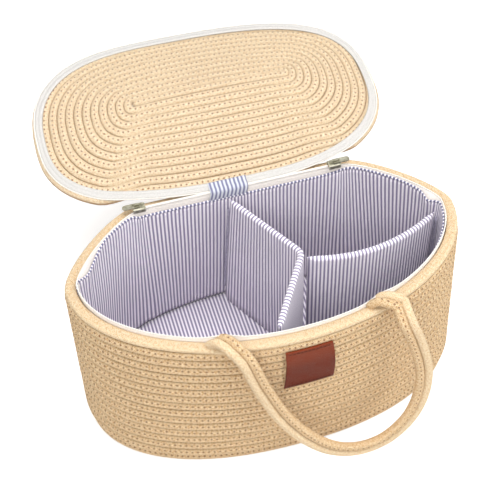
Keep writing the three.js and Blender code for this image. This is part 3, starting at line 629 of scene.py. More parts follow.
# %% Lay the rim rope
HANDLE_CROSSINGS = (-66.0, 84.0)
rim_turns = np.linspace(0, 2 * math.pi, 289)
rim_line = body_point(rim_turns, RIM_LEVEL, RIM_ROPE / 2)
in_front = rim_line[:, 1] < 0
pressed = sum(np.exp(-((rim_line[:, 0] - x) / 14) ** 2) for x in HANDLE_CROSSINGS) * in_front
rim_height = BODY_HEIGHT - RIM_SEEN / 2 - 1.5 * pressed + 0.35 * np.sin(5 * rim_turns + 1) - 0.2
centres = body_point(rim_turns, rim_height, RIM_ROPE / 2 + 0.4)
outward = unit(body_point(rim_turns, RIM_LEVEL, 5) - body_point(rim_turns, RIM_LEVEL, 7))
upward = np.tile(np.array([0.0, 0.0, 1.0]), (len(rim_turns), 1))
rim = lay_rope(
    "rim_rope_lap", centres, outward, upward,
    5.3, RIM_SEEN / 2 - 0.3 * pressed, sides=14, squareness=2.3,
)
coat(rim, plain_rope)
finish_piece(rim, "basket", ["rim_rope"])

# %% [markdown]
# ## Flat coils: the base and the lid
#
# A flat coil starts with one straight length of rope. The rope turns round its end, comes back
# beside it, and goes on round and round. Each lap steps out by one rope's width in the bend at the
# right, and the last end is worked thin into the edge. Base and lid are the same coil at different
# sizes, so one function winds both.

# %% Wind a flat coil
def coil_path(core_half, core_at, outline, rows, lap_steps=120):
    """Places on a flat coil, its sideways directions and its half width; outline(turn) is its edge."""
    jog = math.pi / 3
    turn = np.arange(0, rows * lap_steps + lap_steps // 2) * (2 * math.pi / lap_steps) - jog
    lap = np.floor((turn + jog) / (2 * math.pi))
    into = np.clip((turn + jog - 2 * math.pi * lap) / (2 * jog), 0, 1)
    ease = into * into * (3 - 2 * into)
    final = lap >= rows
    share = np.where(final, rows, lap + ease) / (rows + 0.5)
    width = np.where(final, 1 - ease, 1.0)
    share = np.where(final, share + (1 - width) * 0.5 / (rows + 0.5), share)
    keep = ~(final & (into >= 1))
    turn, share, width = turn[keep], share[keep], width[keep]
    width[-1] = 0
    core_at = np.asarray(core_at, float)
    core = np.stack([core_half * np.clip(1.6 * np.cos(turn), -1, 1), 0 * turn], -1) + core_at
    reach = outline(turn) - core
    ring = core + reach * share[:, None]
    pitch = np.linalg.norm(reach, axis=1) / (rows + 0.5)
    begin = np.argmax(share > 0.5 / (rows + 0.5))
    nose = 0.5 * pitch[begin]
    bow = np.linspace(0, math.pi / 2, 6)[:-1]
    start = np.concatenate([-core_half - nose * np.cos(bow), np.linspace(-core_half, core_half, 24)[:-1]])
    lead = np.stack([start, 0 * start], -1) + core_at
    path = np.concatenate([lead, ring[begin:]])
    width = np.concatenate([np.sin(bow), np.ones(23), width[begin:]])
    half = np.concatenate([np.full(28, pitch[begin] / 2), pitch[begin:] / 2])
    tangent = unit(np.gradient(path, axis=0))
    sideways = np.stack([tangent[:, 1], -tangent[:, 0]], -1)
    return path, sideways, half, width


def base_edge(turn):
    inner = body_point(turn, 4.5, WALL + 4.4)
    return inner[:, :2]


# %% [markdown]
# ### The base
#
# The base is the same rope, seen only when the basket is lifted. Its rows lie flat on the table.

# %% Lay the base
BASE_THICKNESS = 9.0
path, sideways, half, width = coil_path(84.0, (0, 0), base_edge, 9)
centres = np.column_stack([path, np.full(len(path), BASE_THICKNESS / 2)])
outward = np.tile(np.array([0.0, 0.0, -1.0]), (len(path), 1))
across = np.column_stack([sideways, np.zeros(len(path))])
base = lay_rope(
    "rope_base_coil", centres, outward, across,
    BASE_THICKNESS / 2 * np.sqrt(width), (half + 0.1) * width, sides=10, squareness=2.4,
)
coat(base, sewn_rope)
finish_piece(base, "basket", ["rope_base"])
print("the base takes", round(lengths_along(centres)[-1] / 1000, 1), "m of rope")

# %% [markdown]
# ## The lid
#
# The lid hangs open, tilted 12 degrees past level about the zip's closed chain. It is soft, so it
# bows up in the middle and its far corners hang. Its pieces are laid out flat, in the lid's own
# plane, and a single function bows them and carries them into place.

# %% The lid's plane
HINGE_Y = 80.2
HINGE_Z = 185.8
LID_TILT = math.radians(12)
LID_HALF = 174.0
LID_NEAR, LID_FAR = -2.0, 202.0
LID_MIDDLE = (LID_NEAR + LID_FAR) / 2
LID_SHIFT = -6.6
LID_SAG = 17.0
LID_LEFT_DROOP, LID_RIGHT_DROOP = -5.5, 3.1
LID_DROP = 3.1
LID_THICKNESS = 8.2
LID_BEND = 2 / 2.58
LID_BULGES = [(1.33, -1.11), (0.65, 0.04), (-0.28, 1.08)]


def lid_rise(x, v):
    share = np.clip((v - LID_NEAR) / (LID_FAR - LID_NEAR), 0, 1)
    end = np.clip((x / LID_HALF) ** 2, 0, 1)
    droop = np.where(x < 0, LID_LEFT_DROOP, LID_RIGHT_DROOP)
    return 4 * LID_SAG * share * (1 - share) * (1 - end) - droop * end * share


def lid_place(x, v, w):
    """x along the hinge, v away from it and w towards the lid's inner face, in millimetres."""
    x, v, w = np.broadcast_arrays(*(np.asarray(n, float) for n in (x, v, w)))
    w = w + lid_rise(x, v)
    y = HINGE_Y + v * math.cos(LID_TILT) - w * math.sin(LID_TILT)
    z = HINGE_Z + v * math.sin(LID_TILT) + w * math.cos(LID_TILT)
    return np.stack([x + LID_SHIFT, y, z], -1)


def lid_up(x, v):
    """The inner face's own upward direction at a place of the lid."""
    along = lid_place(x + 1, v, 0) - lid_place(x - 1, v, 0)
    away = lid_place(x, v + 1, 0) - lid_place(x, v - 1, 0)
    return unit(np.cross(along, away))


def lid_outline(turn, inset):
    """The lid's edge: an oval with the slight bulges that the soft one has."""
    bulge = 0 * turn
    for k, (even, odd) in enumerate(LID_BULGES):
        bulge = bulge + even * np.cos((k + 2) * turn) + odd * np.sin((k + 2) * turn)
    x = (LID_HALF - inset) * power(np.cos(turn), LID_BEND) + bulge * np.cos(turn)
    v = LID_MIDDLE + ((LID_FAR - LID_NEAR) / 2 - inset) * power(np.sin(turn), LID_BEND)
    return np.stack([x, v + bulge * np.sin(turn)], -1)


# %% Wind the lid
LID_ROWS = 12
LID_CORE_HALF = 76.0
LID_CORE_AT = (5.0, LID_MIDDLE + 16)


def by_hinge(turn):
    share = np.clip((-np.sin(turn) - 0.72) / 0.2, 0, 1)
    return share * share * (3 - 2 * share)


def rope_edge(turn):
    """Just outside the tape, more so at the lower left, but held back behind the hinge."""
    beyond = 1.2 + 3.4 * np.clip(np.cos(turn - 1.2 * math.pi), 0, 1)
    return lid_outline(turn, -beyond * (1 - by_hinge(turn)) + 9.2 * by_hinge(turn))


path, sideways, half, width = coil_path(LID_CORE_HALF, LID_CORE_AT, rope_edge, LID_ROWS, lap_steps=132)
rng = np.random.default_rng(9)
sway = np.convolve(rng.normal(0, 1, len(path) + 30), np.hanning(31) / 9, "valid")
level = -LID_DROP - LID_THICKNESS / 2 + 0.12 * sway
centres = lid_place(path[:, 0], path[:, 1], level)
outward = lid_up(path[:, 0], path[:, 1])
beside = lid_place(path[:, 0] + sideways[:, 0], path[:, 1] + sideways[:, 1], level)
across = unit(beside - centres)
lid = lay_rope(
    "lid_coil", centres, outward, across,
    LID_THICKNESS / 2 * np.sqrt(width), (half + 0.2) * width, sides=12, squareness=2.2,
)
coat(lid, lid_rope_painted_light)
finish_piece(lid, "lid", ["lid_panel"])
print("the lid takes", round(lengths_along(centres)[-1] / 1000, 1), "m of rope")

# %% [markdown]
# ## Cloth materials
#
# The lining, its hem and the dividers share the stripe. Tape is plain off-white cotton with a
# fine rib across it.

# %% Stripe, tape and fuzz
PALE_COTTON = colour(250, 244, 250)
DARK_STRIPE = colour(142, 134, 160)
STRIPE_PITCH = 0.0038
LONG_PITCH = 0.0036


def cloth_material(name, across="X", along="Y", coordinates="UV", pitch=STRIPE_PITCH, share=0.48,
                   pale=PALE_COTTON, dark=DARK_STRIPE):
    material, bench, shader = new_material(name, roughness=0.9, specular=0.2)
    if coordinates == "UV":
        source = bench.add("ShaderNodeUVMap", uv_map="UVMap").outputs[0]
    else:
        source = bench.add("ShaderNodeTexCoord").outputs["Object"]
    parts = bench.add("ShaderNodeSeparateXYZ")
    bench.wire(source, parts.inputs[0])
    weave = place_group(
        bench, stripes, Across=parts.outputs[across], Along=parts.outputs[along],
        Pitch=pitch, Dark_share=share, Pale=pale, Dark=dark,
    )
    bench.wire(weave.outputs["Colour"], shader.inputs["Base Color"])
    bump(bench, shader, weave.outputs["Height"], 0.25, 0.0003)
    shader.inputs["Sheen Weight"].default_value = 0.2
    return material


lining_cloth = cloth_material("lining_cloth")
floor_cloth = cloth_material("floor_cloth", coordinates="OBJECT")
divider_cloth = cloth_material("divider_cloth")
long_divider_cloth = cloth_material("long_divider_cloth", pitch=LONG_PITCH)
hem_cloth = cloth_material("hem_cloth", share=0.6, dark=colour(112, 112, 142))


def tape_material(name, low, high):
    material, bench, shader = new_material(name, roughness=0.75, specular=0.3)
    uv = bench.add("ShaderNodeUVMap", uv_map="UVMap")
    parts = bench.add("ShaderNodeSeparateXYZ")
    bench.wire(uv.outputs[0], parts.inputs[0])
    rib = bench.math("SINE", bench.math("MULTIPLY", parts.outputs["X"], 2 * math.pi / 0.0011))
    fluff = bench.noise(uv.outputs[0], 700, 2, 0.6)
    height = bench.math("MULTIPLY_ADD", rib, 0.3, fluff)
    tint = bench.mix(bench.span(fluff, 0.3, 0.7), low, high)
    bench.wire(tint, shader.inputs["Base Color"])
    bump(bench, shader, height, 0.3, 0.0003)
    return material


tape_cotton = tape_material("tape_cotton", colour(236, 228, 220), colour(250, 244, 236))
# The lid's tape is the same white cotton, painted darker as painted shade, to hold back the stronger light on the
# lid.
lid_tape_shaded_cotton = tape_material("lid_tape_shaded_cotton", colour(189, 186, 182), colour(202, 199, 195))

# %% [markdown]
# ## The lining
#
# The lining hangs from the tape and is stitched to it under a narrow hem. It lies on the padding
# with soft shallow swells, and its top edge wanders at the rear corners, where the open lid pulls.
# That edge is a short table of turns that were read off. The sheet is given a thickness with Solidify.

# %% Hang the lining
FLOOR_TOP = 13.8
LINING_BOTTOM = 14.2
LINING_TOP = 175.0
LINING_INSET = 13.6
CLOTH = 1.0


# Round the rim in degrees: how far the hem rides up on the tape, and how far it is drawn in.
HEM_COURSE = np.array([
    (0, 0.8, 0), (6, 0.6, 2), (12, 0.2, 5), (18, 0.7, 1), (25, 0.8, 0), (50, 0.8, 0), (58, 0.3, 0),
    (66, 0, 0), (114, 0, 0), (121, 0.1, 1), (125, 0.3, 2.4), (129, 0.7, 0.6), (134, 0.9, 0),
    (147, 0.95, 0), (152, 0.6, 0.3), (157, 0.05, 1), (163, 0, 2.8), (167, 0.25, 2), (172, 0.9, -1),
    (182, 0.9, -1), (192, 0.3, 0), (202, 0, 0), (340, 0, 0), (352, 0.6, 0), (360, 0.8, 0),
])
HEM_RISE = 6.0


def hem_course(turn):
    """The hem's rise in millimetres and how far it is drawn in, smoothed between the notes."""
    fine = np.arange(-30, 391, 0.5)
    kernel = np.hanning(13) / np.hanning(13).sum()
    result = []
    for column in (1, 2):
        values = np.interp(np.mod(fine, 360), HEM_COURSE[:, 0], HEM_COURSE[:, column])
        values = np.convolve(values, kernel, "same")
        result.append(np.interp(np.degrees(np.mod(turn, 2 * math.pi)), fine, values))
    return HEM_RISE * result[0], result[1]


def swell(turn, share, drawn):
    """The cloth's own soft waves, in millimetres inwards."""
    waves = 0.5 * np.sin(7 * turn + 2.2 * share) + 0.35 * np.sin(15 * turn - 3 * share + 1)
    pleats = 0.35 * np.clip(drawn, 0, 2) * np.sin(60 * turn) * share ** 2
    return (0.8 + waves) * np.sin(math.pi * np.clip(share, 0, 1)) + pleats


lining_turns = np.linspace(0, 2 * math.pi, 481)
lining_shares = np.linspace(0, 1, 33)
turn, share = np.meshgrid(lining_turns, lining_shares, indexing="ij")
rise, drawn = hem_course(turn)
height = LINING_BOTTOM + (LINING_TOP + rise - LINING_BOTTOM) * share
inset = LINING_INSET + CLOTH / 2 + 0.4 + np.maximum(swell(turn, share, drawn), -0.2)
inset = inset + (drawn - 0.25 * rise) * share ** 4
lining_lap = lengths_along(body_point(lining_turns, 95, LINING_INSET)) * MM
lining = wrap_grid(
    "lining_sheet", body_point(turn, height, inset),
    along=lining_lap, across=lining_shares * (LINING_TOP - LINING_BOTTOM) * MM,
)
thick = lining.modifiers.new("thickness", "SOLIDIFY")
thick.thickness = 0.0008
thick.offset = 0
apply_modifiers(lining)
coat(lining, lining_cloth)
finish_piece(lining, "basket", ["lining_wall", "wall_padding"])

# %% [markdown]
# ### Hem
#
# Where the lining meets the tape it is rolled over a thin cord. The stripes go over the roll and
# read as a row of short dark dashes. At the rear corners the hem rides up and down on the tape,
# because the open lid pulls there.

# %% Roll the hem
hem_turns = np.linspace(0, 2 * math.pi, 481)
hem_rise, hem_drawn = hem_course(hem_turns)
hem_inset = LINING_INSET + 1.3 + hem_drawn - 0.25 * hem_rise
centres = body_point(hem_turns, LINING_TOP + 1.2 + hem_rise, hem_inset)
outward = unit(body_point(hem_turns, 175, 15) - body_point(hem_turns, 175, 13))
upward = np.tile(np.array([0.0, 0.0, 1.0]), (len(hem_turns), 1))
hem = lay_rope("lining_hem_roll", centres, outward, upward, 0.9, 1.5, sides=8, squareness=2.0)
coat(hem, hem_cloth)
finish_piece(hem, "basket", ["lining_hem"])

# %% [markdown]
# ### Floor
#
# A stiff board in a cloth cover lies on the base. Its stripes run from front to back.

# %% Lay the floor
floor_rings = np.linspace(0, 1, 15)
floor_turns = np.linspace(0, 2 * math.pi, 145)
edge = body_point(floor_turns, FLOOR_TOP, LINING_INSET + CLOTH / 2)
share = floor_rings[None, :, None]
places = edge[:, None, :] * share
puff = 0.35 * np.sin(9 * places[..., 0] / 100) * np.cos(7 * places[..., 1] / 100)
places[..., 2] = FLOOR_TOP - 0.5 + 0.3 * puff - 0.4 * share[..., 0] ** 14
floor = wrap_grid("floor_sheet", places)
thick = floor.modifiers.new("thickness", "SOLIDIFY")
thick.thickness = 0.0008
apply_modifiers(floor)
coat(floor, floor_cloth)
finish_piece(floor, "basket", ["lining_floor"])

# %% [markdown]
# ## The zip's tapes
#
# The rim's tape stands up inside the rim rope, a little higher than it, and its foot leans in with
# the hem where that is drawn. The lid's tape is a flat band round its inner face. Both carry a fine
# row of coil teeth along the edge.

# %% Rim tape and its teeth
TAPE_INSET = 12.4
TAPE_THICKNESS = 0.8
TAPE_TOP = 184.2
TAPE_BOTTOM = 166.2


def ribbon(name, faces, along):
    """A closed band from loops of places, each a corner of its section."""
    ring = np.stack([*faces, faces[0]], 1)
    return wrap_grid(name, ring, along=along, across=lengths_along(ring[0]) * MM)


tape_turns = np.linspace(0, 2 * math.pi, 481)
tape_rise, tape_drawn = hem_course(tape_turns)
foot = TAPE_THICKNESS + 0.4 + np.maximum(tape_drawn, 0)
sag = 0.25 * np.sin(9 * tape_turns)
tape_line = body_point(tape_turns, RIM_LEVEL, RIM_ROPE / 2)
over_roots = sum(np.exp(-((tape_line[:, 0] - x) / 13) ** 2) for x in HANDLE_CROSSINGS) * (tape_line[:, 1] < 0)
tape_top = TAPE_TOP - 1.6 * front_dip(tape_turns) * 182 / FRONT_DIP + 4.5 * over_roots
faces = [
    body_point(tape_turns, LINING_TOP - 4, TAPE_INSET),
    body_point(tape_turns, LINING_TOP + 2, TAPE_INSET),
    body_point(tape_turns, tape_top, TAPE_INSET),
    body_point(tape_turns, tape_top, TAPE_INSET + TAPE_THICKNESS),
    body_point(tape_turns, LINING_TOP + 5 + sag, TAPE_INSET + TAPE_THICKNESS + 0.35 * np.maximum(tape_drawn, 0)),
    body_point(tape_turns, LINING_TOP - 1, TAPE_INSET + foot),
    body_point(tape_turns, LINING_TOP - 4, TAPE_INSET + foot),
]
tape = ribbon("rim_tape_band", faces, lengths_along(faces[0]) * MM)
coat(tape, tape_cotton)
finish_piece(tape, "basket", ["rim_zip_tape"])

# %% The rim's teeth
teeth_turns = np.linspace(math.pi - 1.02, 2 * math.pi + 1.02, 421)
bead_top = np.interp(teeth_turns, np.concatenate([tape_turns, tape_turns + 2 * math.pi]), np.tile(tape_top, 2))
centres = body_point(teeth_turns, bead_top + 0.3, TAPE_INSET + TAPE_THICKNESS / 2)
outward = unit(body_point(teeth_turns, 175, 5) - body_point(teeth_turns, 175, 7))
upward = np.tile(np.array([0.0, 0.0, 1.0]), (len(teeth_turns), 1))
rim_bead = lay_rope(
    "rim_teeth_bead", centres, outward, upward,
    0.7 * taper(421, 3, 3), 0.6 * taper(421, 3, 3), sides=8, squareness=2.0,
)
finish_piece(rim_bead, "basket", ["rim_zip_teeth"])

# %% [markdown]
# ### Lid tape
#
# Wider than the rim's, it covers the edge of the lid's outermost rows. A fold runs along its
# middle, where the zip's tape is sewn to the lid's binding. Its teeth are a thin bead along the
# outer edge.

# %% Lid tape
LID_BAND = 10.2
TAPE_LEVEL = -LID_DROP + 0.3
band_turns = np.linspace(0, 2 * math.pi, 385)
leftwards = np.clip(-np.cos(band_turns), 0, 1) ** 1.5 * (1 - by_hinge(band_turns))
rightwards = np.clip(np.cos(band_turns), 0, 1) ** 1.5 * (1 - by_hinge(band_turns))
outer = 2.0 * rightwards - 1.0 * leftwards + 2.4 * by_hinge(band_turns)
inner = LID_BAND - 3.2 * leftwards - 0.3 * rightwards


def lid_ring(share, height):
    """A loop round the lid at a share of the tape's width."""
    edge = lid_outline(band_turns, outer + (inner - outer) * share)
    return lid_place(edge[:, 0], edge[:, 1], TAPE_LEVEL + height)


faces = [
    lid_ring(0, 0), lid_ring(0.06, 0.8), lid_ring(0.4, 1.1), lid_ring(0.46, 0.5), lid_ring(0.52, 1.3),
    lid_ring(0.94, 1.0), lid_ring(1, 0),
]
lid_tape = ribbon("lid_tape_band", faces, lengths_along(faces[0]) * MM)
coat(lid_tape, lid_tape_shaded_cotton)
finish_piece(lid_tape, "lid", ["lid_zip_tape"])

# %% Lid teeth
bead = lid_outline(band_turns, outer - 0.4)
centres = lid_place(bead[:, 0], bead[:, 1], TAPE_LEVEL + 0.2)
outward = lid_up(bead[:, 0], bead[:, 1])
beyond = lid_outline(band_turns, outer - 1.4)
across = unit(lid_place(beyond[:, 0], beyond[:, 1], TAPE_LEVEL + 0.2) - centres)
lid_bead = lay_rope("lid_teeth_bead", centres, across, outward, 0.7, 0.8, sides=8, squareness=2.0)
finish_piece(lid_bead, "lid", ["lid_zip_teeth"])

# %% [markdown]
# ### The striped tab
#
# A short tab of lining cloth covers the middle of the closed zip, from the lid's rope over the zip
# and down to the hem. It is sewn to both, so it is one sheet that bends where the lid turns.

# %% Sew on the tab
TAB_LEFT, TAB_RIGHT = -32.5, 5.5
tab_course = np.array([
    (9.6, -1.2), (8.0, -0.75), (6.0, -0.7), (4.0, -0.4), (2.5, 0.6), (1.2, 1.7), (0, 2.1),
    (-1.2, 1.7), (-2.2, 0.2),
])
tab_x = np.linspace(TAB_LEFT, TAB_RIGHT, 39)
tab_places = np.empty((39, len(tab_course) + 5, 3))
for i, one_x in enumerate(tab_x):
    for j, (v, w) in enumerate(tab_course):
        tab_places[i, j] = lid_place(one_x - LID_SHIFT, v, w - lid_rise(one_x - LID_SHIFT, v) * (v < 1))
    foot = tab_places[i, len(tab_course) - 1]
    for j, share in enumerate(np.linspace(0.2, 1, 5)):
        low = np.array([one_x - 2.2, RIM_BACK - LINING_INSET - 1.4, LINING_TOP + 1.0])
        place = foot + (low - foot) * share
        tab_places[i, len(tab_course) + j] = place + np.array([0, -0.5 * math.sin(math.pi * share), 0])
ripple = 0.22 * np.sin(2 * math.pi * tab_x / 7.5) + 0.15 * np.sin(2 * math.pi * tab_x / 3.1)
tab_places[..., 2] += ripple[:, None] * np.sin(np.linspace(0.2, math.pi, tab_places.shape[1]))
tab_down = lengths_along(tab_places[20]) * MM
tab = wrap_grid("striped_tab", tab_places, along=(tab_x - TAB_LEFT) * MM, across=tab_down)
thick = tab.modifiers.new("thickness", "SOLIDIFY")
thick.thickness = 0.0006
thick.offset = 0
apply_modifiers(tab)
finish_piece(tab, None, ["hinge_tab", "lid_hinge_tab"])
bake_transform(tab)
print("the tab measures", round(TAB_RIGHT - TAB_LEFT), "by", round(float(tab_down[-1]) / MM), "mm")

# %% [markdown]
# ## Dividers
#
# Each divider is a stiff board in a padded cover, about 6 mm thick with round edges. The cloth is
# folded over the top, so the stripes run up one side, over the edge and down the other. One long
# grid is wrapped round the board along its path. The cover's sides swell a little between its
# edges.

# %% Wrap a board in cloth
DIVIDER = 6.4
DIVIDER_FOOT = 14.4
CROSS_TOP, LONG_TOP = 176.5, 170.0
JUNCTION = np.array([32.0, -10.0])
END_LEAN = np.array([-8.0, 14.0])


def board_section(top):
    """Half widths and heights round the cover, from the foot up one side and down the other."""
    half = DIVIDER / 2
    rows = [(half, z) for z in np.linspace(DIVIDER_FOOT, top - 4, 12)]
    rows += [
        (half * math.cos(a) ** 0.8, top - 3.4 + 3.4 * math.sin(a))
        for a in np.linspace(0.2, math.pi / 2 - 0.12, 5)
    ]
    near = np.array(rows)
    far = near[::-1] * np.array([-1, 1])
    section = np.concatenate([near, [(0, top)], far, [near[0]]])
    rise = (section[:, 1] - DIVIDER_FOOT) / (top - DIVIDER_FOOT)
    section[:, 0] *= 1 + 0.1 * np.sin(math.pi * np.clip(rise, 0, 1))
    return section


def wrap_board(name, path, top, lean=(0, 0)):
    """path is a line of places in plan, in millimetres; lean shifts the first end's foot."""
    tangent = unit(np.gradient(path, axis=0))
    sideways = np.stack([-tangent[:, 1], tangent[:, 0]], -1)
    section = board_section(top)
    count = len(path)
    close = taper(count, 3, 3)
    plan = path[:, None, :] + sideways[:, None, :] * section[None, :, 0, None] * close[:, None, None]
    near_end = np.clip(1 - lengths_along(path) / 60, 0, 1)
    low = (top - section[:, 1]) / (top - DIVIDER_FOOT)
    plan = plan + near_end[:, None, None] * low[None, :, None] * np.asarray(lean, float)
    tall = np.broadcast_to(section[None, :, 1, None], plan.shape[:2] + (1,))
    return wrap_grid(
        name, np.concatenate([plan, tall], -1),
        along=lengths_along(path) * MM, across=lengths_along(section) * MM,
    )


def even_path(points, spacing=3.0):
    points = np.asarray(points, float)
    length = lengths_along(points)
    stops = np.linspace(0, length[-1], int(length[-1] / spacing) + 2)
    return np.stack([np.interp(stops, length, points[:, k]) for k in (0, 1)], -1)


def soften(path, times=4):
    for _ in range(times):
        path[1:-1] = path[1:-1] * 0.5 + (path[:-2] + path[2:]) * 0.25
    return path


cross_low, cross_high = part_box("cross_divider_cover")
cross_back = np.array([-14.0, cross_high.y / MM - 0.2])
cross_front = np.array([-15.0, cross_low.y / MM + 0.6])
cross_path = soften(even_path([cross_back, JUNCTION, cross_front]))
cross = wrap_board("cross_divider_pad", cross_path, CROSS_TOP, END_LEAN)
coat(cross, divider_cloth)
finish_piece(cross, "divider_set", ["cross_divider_cover"])

long_low, long_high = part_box("long_divider_cover")
LONG_BOW = 32.0
long_start = np.array([long_low.x / MM + 0.2, -13.0])
long_end = np.array([long_high.x / MM - 0.6, 5.0])
control = (long_start + long_end) / 2 + np.array([0, -LONG_BOW])
s = np.linspace(0, 1, 60)[:, None]
bowed = (1 - s) ** 2 * long_start + 2 * (1 - s) * s * control + s ** 2 * long_end
long_pad = wrap_board("long_divider_pad", even_path(bowed), LONG_TOP)
coat(long_pad, long_divider_cloth)
finish_piece(long_pad, "divider_set", ["long_divider_cover"])

# %% [markdown]
# ## Handles
#
# A handle is one thick rope doubled: two strands side by side, sewn to each other. In front it
# comes up between the rim and the tape, crosses the rim, and hangs in a long loop that leans out
# and sways to the right. The strand away from the middle has the seam's needle holes. The part
# that is sewn down stays with the basket, and the loop swings from it.

# %% The front handle's route
STRAND = 8.4
HANDLE_SPAN, HANDLE_SHIFT = 156.0, 8.0
HANDLE_DROP, HANDLE_LEAN = 171.0, 30.0
ROOT_LEVEL = BODY_HEIGHT + STRAND / 2 + 0.4
OUTSIDE = RIM_FRONT + STRAND / 2 + 0.4
RIM_STEP = 2.0
FRONT_LOOP = [
    (-0.76, 0.09), (-0.68, 0.21), (-0.61, 0.31), (-0.4, 0.55), (-0.12, 0.755), (0.2, 0.9),
    (0.55, 0.96), (0.9, 0.93), (1.19, 0.81), (1.34, 0.64), (1.36, 0.45), (1.26, 0.25), (1.14, 0.09),
]


def over_rim(x, inset, height):
    """A place over the front rim, on the normal that crosses the rim rope's middle at x."""
    turns = np.linspace(math.pi, 2 * math.pi, 1441)
    line = body_point(turns, RIM_LEVEL, RIM_ROPE / 2)
    point = body_point(turns[np.argmin(np.abs(line[:, 0] - x))], RIM_LEVEL, inset)
    point[2] = height
    return point


def hanging(across, drop):
    """A place of the front loop, by shares of half its span across and of its drop."""
    y = RIM_STEP - OUTSIDE - HANDLE_LEAN * drop
    return (HANDLE_SHIFT + across * HANDLE_SPAN / 2, y, ROOT_LEVEL - HANDLE_DROP * drop)


def smooth_line(points, count):
    """A Catmull-Rom line through points, resampled evenly."""
    p = np.asarray(points, float)
    p = np.concatenate([[2 * p[0] - p[1]], p, [2 * p[-1] - p[-2]]])
    fine = []
    for i in range(1, len(p) - 2):
        s = np.linspace(0, 1, 24, endpoint=False)[:, None]
        fine.append(0.5 * (
            2 * p[i] + (p[i + 1] - p[i - 1]) * s
            + (2 * p[i - 1] - 5 * p[i] + 4 * p[i + 1] - p[i + 2]) * s ** 2
            + (3 * p[i] - p[i - 1] - 3 * p[i + 1] + p[i + 2]) * s ** 3
        ))
    fine = np.concatenate([*fine, [p[-2]]])
    length = lengths_along(fine)
    stops = np.linspace(0, length[-1], count)
    return np.stack([np.interp(stops, length, fine[:, k]) for k in range(3)], -1)


# Each root lies aslant over the rim: along it, in from the rope's outer face, and up.
ROOT_COURSE = {
    "left": [(-77, 10.2, 175.5), (-73, 9.4, 180), (-68.5, 7.0, 183.6), (-63, 2.0, 184.6), (-59, -2.5, 184.2)],
    "right": [(75, 10.2, 175.5), (77, 9.4, 180), (80, 7.0, 183), (84.5, 2.0, 184.2), (88, -2.5, 183.8)],
}
SWINGS = {"left": (-56.5, -5.4, 182.6), "right": (91.0, -5.4, 182.6)}
roots = {
    side: {"swing": over_rim(*SWINGS[side]), "sewn": [over_rim(*place) for place in ROOT_COURSE[side]]}
    for side in ("left", "right")
}
course = [hanging(across, drop) for across, drop in FRONT_LOOP]
loop_points = [roots["left"]["swing"], *course, roots["right"]["swing"]]

# %% Lay both strands of a handle
def facing(points):
    """Up on the rim, outwards further down."""
    turned = np.clip((ROOT_LEVEL - points[:, 2]) / (2 * RIM_ROPE), 0, 1) * math.pi / 2
    return np.stack([0 * turned, -np.sin(turned), np.cos(turned)], -1)


def lay_strands(name, line, faces, body, nodes, noses=(True, True), flip=1):
    tangent = unit(np.gradient(line, axis=0))
    across = unit(np.cross(tangent, faces))
    through = unit(np.cross(across, tangent))
    made = []
    for strand, sign, material in (("plain", flip, plain_rope), ("sewn", -flip, sewn_rope)):
        centres = line + across * sign * STRAND * 0.485
        thin = np.ones(len(line))
        ends = []
        if noses[0]:
            ends.append(0)
        if noses[1]:
            ends.append(-1)
        for where in ends:
            shares = np.sin(np.linspace(0, math.pi / 2, 5))[:-1]
            if where == 0:
                extra = centres[0] - tangent[0] * STRAND / 2 * np.cos(np.linspace(0, math.pi / 2, 5)[:-1])[:, None]
                centres = np.concatenate([extra, centres])
                thin = np.concatenate([shares, thin])
            else:
                extra = centres[-1] + tangent[-1] * STRAND / 2 * np.cos(np.linspace(0, math.pi / 2, 5)[:-1])[::-1][:, None]
                centres = np.concatenate([centres, extra])
                thin = np.concatenate([thin, shares[::-1]])
        lead = 4 if noses[0] else 0
        tail = 4 if noses[1] else 0
        out = np.pad(through, ((lead, tail), (0, 0)), mode="edge")
        side = np.pad(across, ((lead, tail), (0, 0)), mode="edge")
        piece = lay_rope(
            name + "_" + strand, centres, out, side * -sign,
            STRAND / 2 * thin, STRAND / 2 * 1.02 * thin, sides=14, squareness=2.1,
        )
        coat(piece, material)
        finish_piece(piece, body, nodes)
        made.append(piece)
    return made


loop_line = smooth_line(loop_points, 150)
lay_strands("front_handle", loop_line, facing(loop_line), "front_handle", ["front_handle"])
for side in ("left", "right"):
    line = smooth_line([*roots[side]["sewn"], roots[side]["swing"]], 16)
    faces = np.tile(np.array([0.0, 0.0, 1.0]), (len(line), 1))
    faces[:, 1] = np.linspace(0.9, -0.8, len(line))
    lay_strands(
        "front_" + side + "_root", line, unit(faces), "basket",
        ["front_handle_" + side + "_root"], noses=(True, True), flip=1 if side == "left" else -1,
    )
print("the front loop measures", round(lengths_along(loop_line)[-1]), "mm")

# %% [markdown]
# ### The back handle
#
# Its twin hangs flat against the back of the wall, where the open lid shades it.

# %% Lay the back handle
BACK_ROOT = BODY_HEIGHT - 20
BACK_SPAN, BACK_DROP, BACK_LEAN = 168.0, 128.0, 8.0
turn = np.linspace(0, math.pi, 61)
drop = np.sin(turn)
height = BACK_ROOT - BACK_DROP * drop
x = -BACK_SPAN / 2 * np.cos(turn)
wall_turns = np.linspace(0.05, math.pi - 0.05, 721)
wall_y = []
for one_x, one_height in zip(x, height):
    line = body_point(wall_turns, one_height, 0.25)
    wall_y.append(line[np.argmin(np.abs(line[:, 0] - one_x)), 1])
y = np.array(wall_y) + STRAND / 2 + 0.4 + BACK_LEAN * drop
back_line = smooth_line(np.stack([x, y, height], -1), 120)
back_faces = np.tile(np.array([0.0, 1.0, 0.0]), (len(back_line), 1))
lay_strands("back_handle", back_line, back_faces, "back_handle", ["back_handle"])

# %% [markdown]
# ## The leather patch
#
# A plain piece of thick brown leather, sewn to the wall along its top and bottom. The sides are
# free and stand off a little. It bears nothing. The grid follows the wall and is given a thickness
# and a worn, rounded edge.

